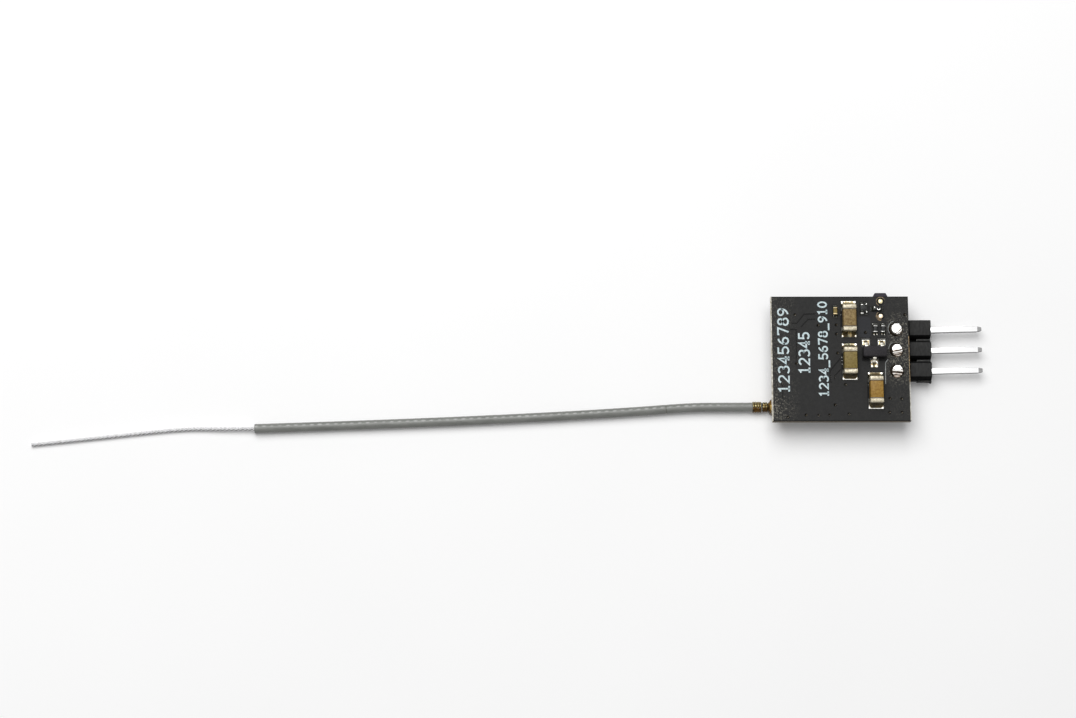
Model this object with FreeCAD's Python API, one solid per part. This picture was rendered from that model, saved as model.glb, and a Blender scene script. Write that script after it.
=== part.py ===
# Miniature radio-control receiver, lying on a table with its component side up.
# Millimetres, +Z up, table at z = 0. Seen from above the origin is the middle of the board,
# the header and the button together, without the antenna lead.
# A place on the board is given from the edges, or from the header's middle pin, that it is laid out from.

import FreeCAD, Part
import math
import os

Vector = FreeCAD.Vector

# Circuit board. Its width follows from the header and the switch behind it.
board_length = 16.6
board_thickness = 1.0
front_reach = 8.87
leg_to_switch = 0.74
pad_thickness = 0.05
via_hole = 0.3
via_sides = 8
via_places = (
    dict(left=1.8, front=0.5), dict(left=4.0, front=0.75), dict(left=5.5, front=0.7),
    dict(left=6.8, front=0.75), dict(left=7.5, front=2.0), dict(left=2.95, front=7.05),
    dict(left=2.9, back=2.25), dict(left=5.65, back=3.55), dict(right=7.45, front=0.85),
    dict(right=2.5, front=2.75), dict(right=1.1, front=2.7), dict(right=1.1, front=1.05),
    dict(right=2.6, front=1.05), dict(right=7.8, header=-4.42), dict(right=8.65, header=-0.57),
    dict(right=8.75, back=4.6), dict(right=8.75, back=3.5), dict(right=5.25, back=4.45),
    dict(right=0.45, back=2.25),
)

# Pin header under the right edge
pitch = 2.54
header_section = 2.5
header_depth = 2.47
header_gap = 0.37
cell_chamfer = 0.42
snap_slot_depth = 0.65
snap_slot_width = 0.5
snap_burr = 0.16
snap_burr_depth = 0.48
snap_burr_low = 0.88
snap_burr_high = 1.5
pin_side = 0.64
pin_reach = 6.3
pin_tip_chamfer = 0.17
leg_inset = 1.55
leg_stand = 0.74
leg_tip_chamfer = 0.1
leg_bend_radius = 0.55
leg_hole = 1.0
joint_width = 1.5
joint_shoulder_width = 1.3
joint_shoulder_height = 0.38
joint_top_width = 0.98
joint_height = 0.62
joint_foot_width = 1.35
joint_foot_tip_width = 0.96
joint_foot_height = 0.35

# Bulk capacitors
bulk_length = 3.2
bulk_width = 1.6
bulk_height = 1.25
bulk_end = 0.55
bulk_pad_margin = 0.14
bulk_pad_length = 1.25
bulk_pad_toe = 0.65
bulk_solder_rise = 0.8
bulk_places = (dict(right=7.22, back=2.79), dict(right=7.22, header=-1.61), dict(right=4.18, header=-5.15))
plating = 0.04
chip_bevel = 0.07

# Three-lead voltage regulator
regulator_length = 2.9
regulator_width = 1.34
regulator_height = 1.0
regulator_standoff = 0.08
regulator_parting = 0.52
regulator_draft = 0.06
regulator_place = dict(right=4.27, header=-0.51)
lead_width = 0.42
lead_thickness = 0.13
lead_pitch = 1.9
lead_reach = 0.58
lead_root = 0.25
lead_shoulder = 0.16
lead_foot = 0.42
regulator_pad_side = 1.05
regulator_pad_toe = 0.5
regulator_solder_width = 0.88
regulator_solder_rise = 0.16
solder_margin = 0.04

# Small chip parts
small_length = 1.0
small_width = 0.5
small_capacitor_height = 0.5
small_resistor_height = 0.35
small_end = 0.25
small_pad_margin = 0.025
small_pad_length = 0.5
small_pad_toe = 0.25
small_solder_rise = 0.22
filter_capacitor_place = dict(right=8.86, back=1.85)
signal_resistor_place = dict(right=3.12, header=2.33)
pull_up_resistor_place = dict(right=4.05, header=2.33)
lamp_resistor_place = dict(right=3.82, back=1.53)
array_length = 1.05
array_width = 0.92
array_pitch = 0.52
array_end_width = 0.31
array_place = dict(right=5.38, back=1.49)

# A solder fillet hangs in: how far out its middle lies, and how high, as shares of its toe and rise
fillet_middle_out = 0.38
fillet_middle_up = 0.36

# Test points
test_point_radius = 0.34
test_point_height = 0.07
test_point_places = (dict(right=3.33, back=0.61), dict(right=3.35, back=2.43))

# Bind switch under the back edge, pressed from the side. Its case is sized from the button's flange.
switch_from_right = 3.13
switch_setback = 0.15
switch_depth = 2.6
switch_height = 1.4
switch_wall = 0.45
switch_floor = 0.35
cover_thickness = 0.15
cover_tab_width = 0.9
button_width = 1.76
button_height = 0.68
button_reach = 0.72
button_taper_width = 0.22
button_taper_length = 0.38
button_play = 0.04
button_stop_play = 0.03
flange_ear = 0.27
flange_depth = 0.4
flange_play = 0.15
nose_width = 0.8
nose_depth = 0.22
button_travel = 0.2
dome_play = 0.06
dome_thickness = 0.06
dome_side_play = 0.2
dome_height = 0.5
contact_width = 0.5
contact_inset = 0.5
contact_thickness = 0.12
contact_reach = 0.35
contact_root = 0.3

# Antenna socket under the left edge
socket_base_side = 2.6
socket_base_height = 0.35
socket_corner = 0.25
socket_height = 1.25
socket_shell_radius = 1.0
socket_shell_wall = 0.15
socket_pin_radius = 0.25
socket_pin_height = 1.1
socket_pin_tip = 0.08
socket_from_front = 2.15

# Antenna plug, pressed on the socket from below
plug_rim = 0.29
plug_wall = 0.15
plug_cup_height = 1.25
plug_play = 0.03
plug_grip_wall = 0.13
plug_grip_gap = 0.12
plug_slot = 0.25
plug_seat = 0.1
plug_contact_wall = 0.14
plug_contact_slot = 0.12
plug_contact_gap = 0.1
neck_width_wide = 2.1
neck_width_narrow = 1.15
neck_height = 1.3
neck_root = 0.5
neck_length = 0.21
shield_crimp_length = 0.58
crimp_gap = 0.2
crimp_step = 0.11
jacket_crimp_length = 0.74
crimp_wall = 0.09
shield_crimp_wall = 0.14
crimp_spine_width = 0.5

# Antenna lead: jacketed cable, then the bare element. Routes are in the part's own frame.
cable_diameter = 1.13
shield_diameter = 0.9
core_diameter = 0.68
element_diameter = 0.5
cable_axis_height = 0.72
cable_fit = 0.01
cable_points = (
    (-17.9, -5.835, 0.72), (-22.7, -5.85, 0.65), (-29.0, -6.34, 0.565), (-41.0, -7.05, 0.565),
    (-58.5, -7.82, 0.565), (-75.3, -8.35, 0.565),
)
element_points = (
    (-75.3, -8.35, 0.565), (-79.0, -8.40, 0.42), (-84.0, -8.31, 0.25), (-93.3, -9.32, 0.25),
    (-102.3, -10.25, 0.25),
)

# Chips and other parts under the board
radio_side = 4.0
radio_height = 0.85
radio_pads_per_side = 5
radio_place = dict(left=6.3, front=3.2)
processor_side = 5.0
processor_height = 0.8
processor_pads_per_side = 6
processor_place = dict(left=6.6, front=9.3)
chip_pad_pitch = 0.65
chip_pad_width = 0.3
chip_pad_length = 0.4
chip_pad_thickness = 0.1
chip_heat_pad_inset = 1.0
chip_top_chamfer = 0.06
copper_margin = 0.25
crystal_length = 2.5
crystal_width = 2.0
crystal_base_height = 0.4
crystal_lid_height = 0.2
crystal_lid_inset = 0.12
crystal_lid_chamfer = 0.08
crystal_place = dict(left=10.4, front=2.6)
lamp_length = 1.6
lamp_width = 0.8
lamp_base_height = 0.3
lamp_lens_height = 0.35
lamp_lens_length = 0.9
lamp_lens_chamfer = 0.15
lamp_place = dict(left=5.5, back=1.05)
matching_places = tuple(dict(left=3.55, front=1.0 + step * 1.15) for step in range(3))
decoupling_places = (
    dict(left=2.9, front=7.6), dict(left=2.9, front=10.9), dict(left=10.6, front=7.2),
    dict(left=10.6, front=10.6), dict(left=9.6, front=5.6),
)

# Worked out from the sizes above
board_width = front_reach + pitch + leg_to_switch + contact_reach + switch_depth + switch_setback
board_bottom = header_section
board_top = board_bottom + board_thickness
seat_top = board_top + pad_thickness
seat_bottom = board_bottom - pad_thickness
whole_length = board_length + header_gap + header_depth + pin_reach
whole_width = board_width + button_reach
board_left = -whole_length / 2
board_right = board_left + board_length
board_front = -whole_width / 2
board_back = board_front + board_width
header_y = board_front + front_reach
housing_left = board_right + header_gap
housing_right = housing_left + header_depth
pin_tip = housing_right + pin_reach
pin_axis_height = header_section / 2
leg_x = board_right - leg_inset
leg_top = board_top + leg_stand
pin_ys = (header_y - pitch, header_y, header_y + pitch)
socket_x = board_left + socket_base_side / 2
socket_y = board_front + socket_from_front
socket_mouth = board_bottom - socket_height
socket_face = board_bottom - socket_base_height
cable_radius = cable_diameter / 2
plug_radius = socket_shell_radius + plug_play + plug_grip_wall + plug_rim
plug_inner = plug_radius - plug_wall
plug_contact_radius = socket_pin_radius + plug_play + plug_contact_wall
neck_end = plug_radius + neck_length
shield_crimp_end = neck_end + shield_crimp_length
jacket_crimp_start = shield_crimp_end + crimp_gap
jacket_start = jacket_crimp_start - crimp_step
jacket_crimp_end = jacket_crimp_start + jacket_crimp_length
jacket_crimp_radius = cable_radius + cable_fit + crimp_wall
shield_crimp_radius = shield_diameter / 2 + cable_fit + shield_crimp_wall
parts = {}


def spot(left=None, right=None, front=None, back=None, header=None):
    """Position of a place that is given from two edges, or from one edge and the header's middle pin."""
    x = board_left + left if right is None else board_right - right
    if header is not None:
        return x, header_y + header
    if back is not None:
        return x, board_back - back
    return x, board_front + front


def block(x_size, y_size, z_size, x=0.0, y=0.0, z=0.0):
    """Box centred on x and y, standing on z."""
    return Part.makeBox(x_size, y_size, z_size, Vector(x - x_size / 2, y - y_size / 2, z))


def slab(x0, x1, y0, y1, z0, z1):
    """Box between two corners."""
    return Part.makeBox(x1 - x0, y1 - y0, z1 - z0, Vector(x0, y0, z0))


def rod(radius, start, direction, length):
    """Plain cylinder."""
    return Part.makeCylinder(radius, length, Vector(*start), Vector(*direction))


def ring(outer, inner, x, y, z0, z1):
    """Upright cylinder with a round bore."""
    return rod(outer, (x, y, z0), (0, 0, 1), z1 - z0).cut(rod(inner, (x, y, z0), (0, 0, 1), z1 - z0))


def prism(points, vector):
    """Closed outline of straight edges, pushed along a vector."""
    wire = Part.makePolygon([Vector(*point) for point in points] + [Vector(*points[0])])
    return Part.Face(wire).extrude(Vector(*vector))


def revolved(outline, x, y):
    """Turned shape from (radius, height) points, standing round an upright axis."""
    corners = [Vector(radius, 0, height) for radius, height in outline]
    face = Part.Face(Part.makePolygon(corners + corners[:1]))
    turned = face.revolve(Vector(0, 0, 0), Vector(0, 0, 1), 360)
    turned.translate(Vector(x, y, 0))
    return turned


def flat_edges(shape, axis, value):
    """Edges that lie in one plane across an axis."""
    found = []
    for edge in shape.Edges:
        low = getattr(edge.BoundBox, axis + "Min")
        high = getattr(edge.BoundBox, axis + "Max")
        if abs(low - value) < 0.001 and abs(high - value) < 0.001:
            found.append(edge)
    return found


def upright_edges(shape):
    """Edges that stand straight up."""
    return [edge for edge in shape.Edges if edge.BoundBox.ZLength > 0.9 * edge.Length]


def route(points, radius=None, label=None):
    """Straight runs joined by tangent arcs, as large as the runs allow unless a radius is given."""
    points = [Vector(*point) for point in points]
    edges = []
    radii = []
    start = points[0]
    for before, corner, after in zip(points, points[1:], points[2:]):
        back = (before - corner).normalize()
        ahead = (after - corner).normalize()
        half_turn = (math.pi - back.getAngle(ahead)) / 2
        shorter = min((corner - before).Length, (after - corner).Length)
        arc_radius = radius or 0.45 * shorter / math.tan(half_turn)
        reach = arc_radius * math.tan(half_turn)
        arc_start = corner + back * reach
        arc_end = corner + ahead * reach
        inward = (back + ahead).normalize()
        middle = corner + inward * (arc_radius / math.cos(half_turn) - arc_radius)
        edges.append(Part.LineSegment(start, arc_start).toShape())
        edges.append(Part.Arc(arc_start, middle, arc_end).toShape())
        radii.append(arc_radius)
        start = arc_end
    edges.append(Part.LineSegment(start, points[-1]).toShape())
    wire = Part.Wire(edges)
    if label:
        print(label, "route", round(wire.Length, 2), "mm, radii", [round(value, 1) for value in radii])
    return wire


def round_bar(points, diameter, label):
    """Plain round bar along a route."""
    wire = route(points, label=label)
    start = Vector(*points[0])
    heading = (Vector(*points[1]) - start).normalize()
    section = Part.Wire(Part.makeCircle(diameter / 2, start, heading))
    bar = wire.makePipeShell([section], True, False)
    wanted = math.pi * diameter ** 2 / 4 * wire.Length
    print(label, "volume", round(bar.Volume, 3), "against section times length", round(wanted, 3))
    return bar


def square_bar(points, radius, side):
    """Square bar bent along a route in the plane across Y."""
    wire = route(points, radius)
    start = Vector(*points[0])
    half = side / 2
    corners = [start + Vector(x * half, y * half, 0) for x, y in ((-1, -1), (1, -1), (1, 1), (-1, 1))]
    section = Part.makePolygon(corners + corners[:1])
    return wire.makePipeShell([section], True, False)


def turned(shapes, angle):
    """Copies of shapes, turned about the upright axis."""
    copies = []
    for shape in shapes:
        copy = shape.copy()
        copy.rotate(Vector(0, 0, 0), Vector(0, 0, 1), angle)
        copies.append(copy)
    return copies


def on_top(shape, place, angle=0.0):
    """Puts a part that was drawn on z = 0 on the pads of the upper side."""
    x, y = spot(**place)
    moved = turned([shape], angle)[0]
    moved.translate(Vector(x, y, seat_top))
    return moved


def on_bottom(shape, place, angle=0.0):
    """Hangs a part that was drawn on z = 0 from the pads of the lower side."""
    x, y = spot(**place)
    moved = turned([shape], angle)[0]
    moved.rotate(Vector(0, 0, 0), Vector(1, 0, 0), 180)
    moved.translate(Vector(x, y, seat_bottom))
    return moved


def chip(length, width, height, end, bevel=0.0):
    """Ceramic chip along Y: its body, and the two plated end caps that fit over it."""
    core = block(width - 2 * plating, length - 2 * plating, height - 2 * plating, z=plating)
    shell = block(width, length, height)
    if bevel:
        shell = shell.makeChamfer(bevel, shell.Edges)
    keep = slab(-width, width, length / 2 - end, length, -height, 2 * height)
    cap = shell.common(keep).cut(core)
    return core, [cap] + turned([cap], 180)


def end_solder(length, width, toe, rise):
    """Concave fillets of solder from the end caps down to the ends of the pads, along Y."""
    wall = length / 2
    outline = (
        (-width / 2, wall, 0), (-width / 2, wall + toe, 0),
        (-width / 2, wall + toe * fillet_middle_out, rise * fillet_middle_up), (-width / 2, wall, rise),
    )
    fillet = prism(outline, (width, 0, 0))
    return [fillet] + turned([fillet], 180)


def pad_pair(width, length, reach):
    """Two copper pads along Y, lying just under z = 0, whose outer ends are that far from the middle."""
    pad = block(width, length, pad_thickness, y=reach - length / 2, z=-pad_thickness)
    return [pad] + turned([pad], 180)


def moulded_body(length, width, height, parting, draft):
    """Moulded package whose walls lean in above and below the parting line, on z = 0."""
    rings = []
    for z, inset in ((0, draft), (parting, 0), (height, draft)):
        x = length / 2 - inset
        y = width / 2 - inset
        corners = [Vector(-x, -y, z), Vector(x, -y, z), Vector(x, y, z), Vector(-x, y, z)]
        rings.append(Part.makePolygon(corners + corners[:1]))
    lower = Part.makeLoft(rings[:2], True, True)
    upper = Part.makeLoft(rings[1:], True, True)
    return lower.fuse(upper).removeSplitter()


def flat_package(side, height, pads_per_side):
    """Leadless square package: moulded body and the plated pads along its lower edges."""
    body = block(side, side, height - chip_pad_thickness, z=chip_pad_thickness)
    body = body.makeChamfer(chip_top_chamfer, flat_edges(body, "Z", height))
    heat_pad_side = side - 2 * chip_heat_pad_inset
    pads = [block(heat_pad_side, heat_pad_side, chip_pad_thickness)]
    row_start = -(pads_per_side - 1) * chip_pad_pitch / 2
    row = []
    for index in range(pads_per_side):
        row.append(block(chip_pad_width, chip_pad_length, chip_pad_thickness,
                         x=row_start + index * chip_pad_pitch, y=(side - chip_pad_length) / 2))
    for quarter in range(4):
        pads += turned(row, 90 * quarter)
    return body, pads


def copper_under(length, width, place):
    """Copper area of the lower side, under a part and a margin round it."""
    area = block(length + 2 * copper_margin, width + 2 * copper_margin, pad_thickness, z=-pad_thickness)
    return on_bottom(area, place)


def make_board():
    board = slab(board_left, board_right, board_front, board_back, board_bottom, board_top)
    drills = [rod(leg_hole / 2, (leg_x, y, board_bottom), (0, 0, 1), board_thickness) for y in pin_ys]
    for place in via_places:
        x, y = spot(**place)
        corners = []
        for index in range(via_sides):
            angle = 2 * math.pi * index / via_sides
            corners.append((x + via_hole / 2 * math.cos(angle), y + via_hole / 2 * math.sin(angle), board_bottom))
        drills.append(prism(corners, (0, 0, board_thickness)))
    parts["circuit_board"] = board.cut(Part.makeCompound(drills))


def make_header():
    pins = []
    for y in pin_ys:
        corners = ((leg_x, y, leg_top), (leg_x, y, pin_axis_height), (pin_tip, y, pin_axis_height))
        bar = square_bar(corners, leg_bend_radius, pin_side)
        bar = bar.makeChamfer(pin_tip_chamfer, flat_edges(bar, "X", pin_tip))
        bar = bar.makeChamfer(leg_tip_chamfer, flat_edges(bar, "Z", leg_top))
        pins.append(bar)
    for name, bar in zip(("ground", "power", "signal"), pins):
        parts["header_pin_" + name] = bar
    parts["header_housing"] = header_housing().cut(Part.makeCompound(pins))
    joints = [solder_joint(y).cut(bar) for y, bar in zip(pin_ys, pins)]
    parts["header_solder_joints"] = Part.makeCompound(joints)


def header_housing():
    """Three square cells with chamfered corners in a row, slotted where the strip can be snapped."""
    low = pin_ys[0] - pitch / 2
    high = pin_ys[-1] + pitch / 2
    lower_edge = []
    upper_edge = []
    for index in range(len(pin_ys)):
        start = low + index * pitch
        lower_edge.append((housing_left, start, cell_chamfer))
        lower_edge.append((housing_left, start + cell_chamfer, 0))
        lower_edge.append((housing_left, start + pitch - cell_chamfer, 0))
        upper_edge.append((housing_left, start, header_section - cell_chamfer))
        upper_edge.append((housing_left, start + cell_chamfer, header_section))
        upper_edge.append((housing_left, start + pitch - cell_chamfer, header_section))
    lower_edge.append((housing_left, high, cell_chamfer))
    upper_edge.append((housing_left, high, header_section - cell_chamfer))
    housing = prism(lower_edge + upper_edge[::-1], (header_depth, 0, 0))
    for index in range(1, len(pin_ys)):
        neck = low + index * pitch
        slot = slab(housing_left, housing_left + snap_slot_depth, neck - snap_slot_width / 2,
                    neck + snap_slot_width / 2, 0, header_section)
        housing = housing.cut(slot)
    burr = slab(housing_right - snap_burr_depth, housing_right, low - snap_burr, low, snap_burr_low, snap_burr_high)
    return housing.fuse(burr).removeSplitter()


def solder_joint(y):
    """Solder round one leg: a dome on the board and a foot under it."""
    dome = revolved((
        (0, board_top), (joint_width / 2, board_top),
        (joint_shoulder_width / 2, board_top + joint_shoulder_height),
        (joint_top_width / 2, board_top + joint_height), (0, board_top + joint_height),
    ), leg_x, y)
    foot = revolved((
        (0, board_bottom), (joint_foot_width / 2, board_bottom),
        (joint_foot_tip_width / 2, board_bottom - joint_foot_height), (0, board_bottom - joint_foot_height),
    ), leg_x, y)
    return Part.makeCompound([dome, foot])


def make_bulk_capacitors():
    body, ends = chip(bulk_length, bulk_width, bulk_height, bulk_end, chip_bevel)
    fillets = end_solder(bulk_length, bulk_width, bulk_pad_toe - solder_margin, bulk_solder_rise)
    pair = pad_pair(bulk_width + 2 * bulk_pad_margin, bulk_pad_length, bulk_length / 2 + bulk_pad_toe)
    solder = []
    pads = []
    for number, place in enumerate(bulk_places, 1):
        name = "bulk_capacitor_%d" % number
        parts[name + "_body"] = on_top(body, place)
        parts[name + "_terminals"] = Part.makeCompound([on_top(end, place) for end in ends])
        solder += [on_top(fillet, place) for fillet in fillets]
        pads += [on_top(pad, place) for pad in pair]
    parts["bulk_capacitor_solder"] = Part.makeCompound(solder)
    return pads


def gull_lead():
    """Flat lead out of the regulator's parting line and down to its foot, towards +Y."""
    wall = regulator_width / 2
    toe = wall + lead_reach
    heel = toe - lead_foot
    height = regulator_standoff + regulator_parting
    low = height - lead_thickness / 2
    high = height + lead_thickness / 2
    outline = (
        (-lead_width / 2, wall - lead_root, low), (-lead_width / 2, wall + lead_shoulder / 2, low),
        (-lead_width / 2, heel - lead_thickness / 2, 0), (-lead_width / 2, toe, 0),
        (-lead_width / 2, toe, lead_thickness), (-lead_width / 2, heel + lead_thickness / 2, lead_thickness),
        (-lead_width / 2, wall + lead_shoulder, high), (-lead_width / 2, wall - lead_root, high),
    )
    return prism(outline, (lead_width, 0, 0))


def make_regulator():
    """Body, two leads behind and one in front, each on its own pad with solder over its toe."""
    body = moulded_body(regulator_length, regulator_width, regulator_height, regulator_parting, regulator_draft)
    body.translate(Vector(0, 0, regulator_standoff))
    toe = regulator_width / 2 + lead_reach
    pad = block(regulator_pad_side, regulator_pad_side, pad_thickness,
                y=toe + regulator_pad_toe - regulator_pad_side / 2, z=-pad_thickness)
    half = regulator_solder_width / 2
    end = toe + regulator_pad_toe - solder_margin
    wedge = prism(((-half, toe, 0), (-half, end, 0), (-half, toe, regulator_solder_rise)), (2 * half, 0, 0))
    sets = []
    for piece in (gull_lead(), pad, wedge):
        back = [piece.copy(), piece.copy()]
        back[0].translate(Vector(-lead_pitch / 2, 0, 0))
        back[1].translate(Vector(lead_pitch / 2, 0, 0))
        sets.append([on_top(copy, regulator_place) for copy in back + turned([piece], 180)])
    leads, pads, solder = sets
    parts["regulator_body"] = on_top(body, regulator_place).cut(Part.makeCompound(leads))
    parts["regulator_leads"] = Part.makeCompound(leads)
    parts["regulator_solder"] = Part.makeCompound(solder)
    return pads


def make_small_parts():
    """Small chips of the upper side: bodies by name, their end caps and solder together."""
    pads = []
    terminals = []
    solder = []
    layout = (
        ("filter_capacitor_body", filter_capacitor_place, small_capacitor_height, 0),
        ("pull_up_resistor_body", pull_up_resistor_place, small_resistor_height, 0),
        ("signal_resistor_body", signal_resistor_place, small_resistor_height, 0),
        ("led_resistor_body", lamp_resistor_place, small_resistor_height, 90),
    )
    fillets = end_solder(small_length, small_width, small_pad_toe, small_solder_rise)
    pair = pad_pair(small_width + 2 * small_pad_margin, small_pad_length, small_length / 2 + small_pad_toe)
    for name, place, height, angle in layout:
        body, ends = chip(small_length, small_width, height, small_end)
        parts[name] = on_top(body, place, angle)
        terminals += [on_top(end, place, angle) for end in ends]
        solder += [on_top(fillet, place, angle) for fillet in fillets]
        pads += [on_top(pad, place, angle) for pad in pair]

    body = block(array_width, array_length - 2 * plating, small_resistor_height)
    parts["resistor_array_body"] = on_top(body, array_place)
    cap_height = small_resistor_height + plating
    for x in (-array_pitch / 2, array_pitch / 2):
        cap = block(array_end_width, small_end, cap_height, x, (array_length - small_end) / 2).cut(body)
        pad = block(array_end_width, small_pad_length, pad_thickness, x, array_length / 2, -pad_thickness)
        terminals += [on_top(end, array_place) for end in [cap] + turned([cap], 180)]
        pads += [on_top(copper, array_place) for copper in [pad] + turned([pad], 180)]
    parts["small_chip_terminals"] = Part.makeCompound(terminals)
    parts["small_chip_solder"] = Part.makeCompound(solder)
    return pads


def make_test_points():
    points = []
    for place in test_point_places:
        x, y = spot(**place)
        points.append(rod(test_point_radius, (x, y, board_top), (0, 0, 1), test_point_height))
    parts["test_points"] = Part.makeCompound(points)


def make_antenna_socket():
    base = block(socket_base_side, socket_base_side, socket_base_height, socket_x, socket_y, socket_face)
    parts["antenna_socket_base"] = base.makeChamfer(socket_corner, upright_edges(base))
    parts["antenna_socket_shell"] = ring(socket_shell_radius, socket_shell_radius - socket_shell_wall,
                                         socket_x, socket_y, socket_mouth, socket_face)
    tip = board_bottom - socket_pin_height
    pin = rod(socket_pin_radius, (socket_x, socket_y, tip), (0, 0, 1), socket_face - tip)
    parts["antenna_socket_pin"] = pin.makeChamfer(socket_pin_tip, flat_edges(pin, "Z", tip))


def plug_ring(outer, inner, z0, z1):
    """Upright ring of the plug, centred on the socket."""
    return ring(outer, inner, socket_x, socket_y, z0, z1)


def lead_rod(radius, start, end):
    """Cylinder along the cable's line, between two distances out from the socket's axis."""
    return rod(radius, (socket_x - start, socket_y, cable_axis_height), (-1, 0, 0), end - start)


def plug_shell():
    """Stamped shell: cap, slotted grip over the socket, neck, shield crimp and jacket crimp."""
    grip_inner = socket_shell_radius + plug_play
    shoulder_top = plug_cup_height + plug_wall
    grip_top = socket_face - plug_grip_gap
    cap = rod(plug_radius, (socket_x, socket_y, 0), (0, 0, 1), plug_wall)
    wall = plug_ring(plug_radius, plug_inner, plug_wall, plug_cup_height)
    shoulder = plug_ring(plug_radius, grip_inner, plug_cup_height, shoulder_top)
    grip = plug_ring(grip_inner + plug_grip_wall, grip_inner, shoulder_top, grip_top)
    for angle in (45, 135):
        slot = turned([block(3 * plug_radius, plug_slot, grip_top, z=shoulder_top)], angle)[0]
        slot.translate(Vector(socket_x, socket_y, 0))
        grip = grip.cut(slot)
    wide = neck_width_wide / 2
    narrow = neck_width_narrow / 2
    outline = (
        (socket_x - plug_radius + neck_root, socket_y - wide, 0), (socket_x - neck_end, socket_y - narrow, 0),
        (socket_x - neck_end, socket_y + narrow, 0), (socket_x - plug_radius + neck_root, socket_y + wide, 0),
    )
    neck = prism(outline, (0, 0, neck_height))
    neck = neck.cut(rod(plug_inner, (socket_x, socket_y, 0), (0, 0, 1), header_section))
    shield_crimp = lead_rod(shield_crimp_radius, neck_end, shield_crimp_end)
    jacket_crimp = lead_rod(jacket_crimp_radius, jacket_crimp_start, jacket_crimp_end)
    spine = slab(socket_x - jacket_crimp_end, socket_x - neck_end, socket_y - crimp_spine_width / 2,
                 socket_y + crimp_spine_width / 2, cable_axis_height - jacket_crimp_radius,
                 cable_axis_height - cable_radius - cable_fit)
    shell = cap.fuse([wall, shoulder, grip, neck, shield_crimp, jacket_crimp, spine])
    bores = (
        lead_rod(core_diameter / 2 + cable_fit, 0, plug_radius),
        lead_rod(shield_diameter / 2 + cable_fit, plug_inner, jacket_crimp_start),
        lead_rod(cable_radius + cable_fit, jacket_start, jacket_crimp_end),
    )
    return shell.cut(Part.makeCompound(bores[:2])).cut(bores[2]).removeSplitter()


def make_plug():
    parts["plug_shell"] = plug_shell()

    contact_floor = plug_wall + plug_seat
    core_top = cable_axis_height + core_diameter / 2
    contact_top = socket_face - plug_contact_gap
    contact = rod(plug_contact_radius, (socket_x, socket_y, contact_floor), (0, 0, 1), contact_top - contact_floor)
    bore = rod(socket_pin_radius + plug_play, (socket_x, socket_y, core_top), (0, 0, 1), contact_top)
    split = block(3 * plug_contact_radius, plug_contact_slot, contact_top, socket_x, socket_y, core_top + plug_seat)
    parts["plug_contact"] = contact.cut(bore).cut(split)

    filling = plug_ring(plug_inner, plug_contact_radius, contact_floor, plug_cup_height)
    channel = slab(socket_x - plug_radius, socket_x, socket_y - core_diameter / 2 - cable_fit,
                   socket_y + core_diameter / 2 + cable_fit, contact_floor, plug_cup_height)
    seat = rod(plug_inner, (socket_x, socket_y, plug_wall), (0, 0, 1), plug_seat)
    parts["plug_insulator"] = filling.cut(channel).fuse(seat).removeSplitter()

    sleeve = rod(plug_contact_radius, (socket_x, socket_y, 0), (0, 0, 1), header_section)
    parts["cable_core_end"] = lead_rod(core_diameter / 2, 0, plug_inner).cut(sleeve)
    parts["cable_shield_end"] = lead_rod(shield_diameter / 2, plug_inner, jacket_start)


def make_antenna_lead():
    start = (socket_x - jacket_start, socket_y, cable_axis_height)
    parts["antenna_cable"] = round_bar((start,) + cable_points, cable_diameter, "cable")
    parts["antenna_element"] = round_bar(element_points, element_diameter, "element")


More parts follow.
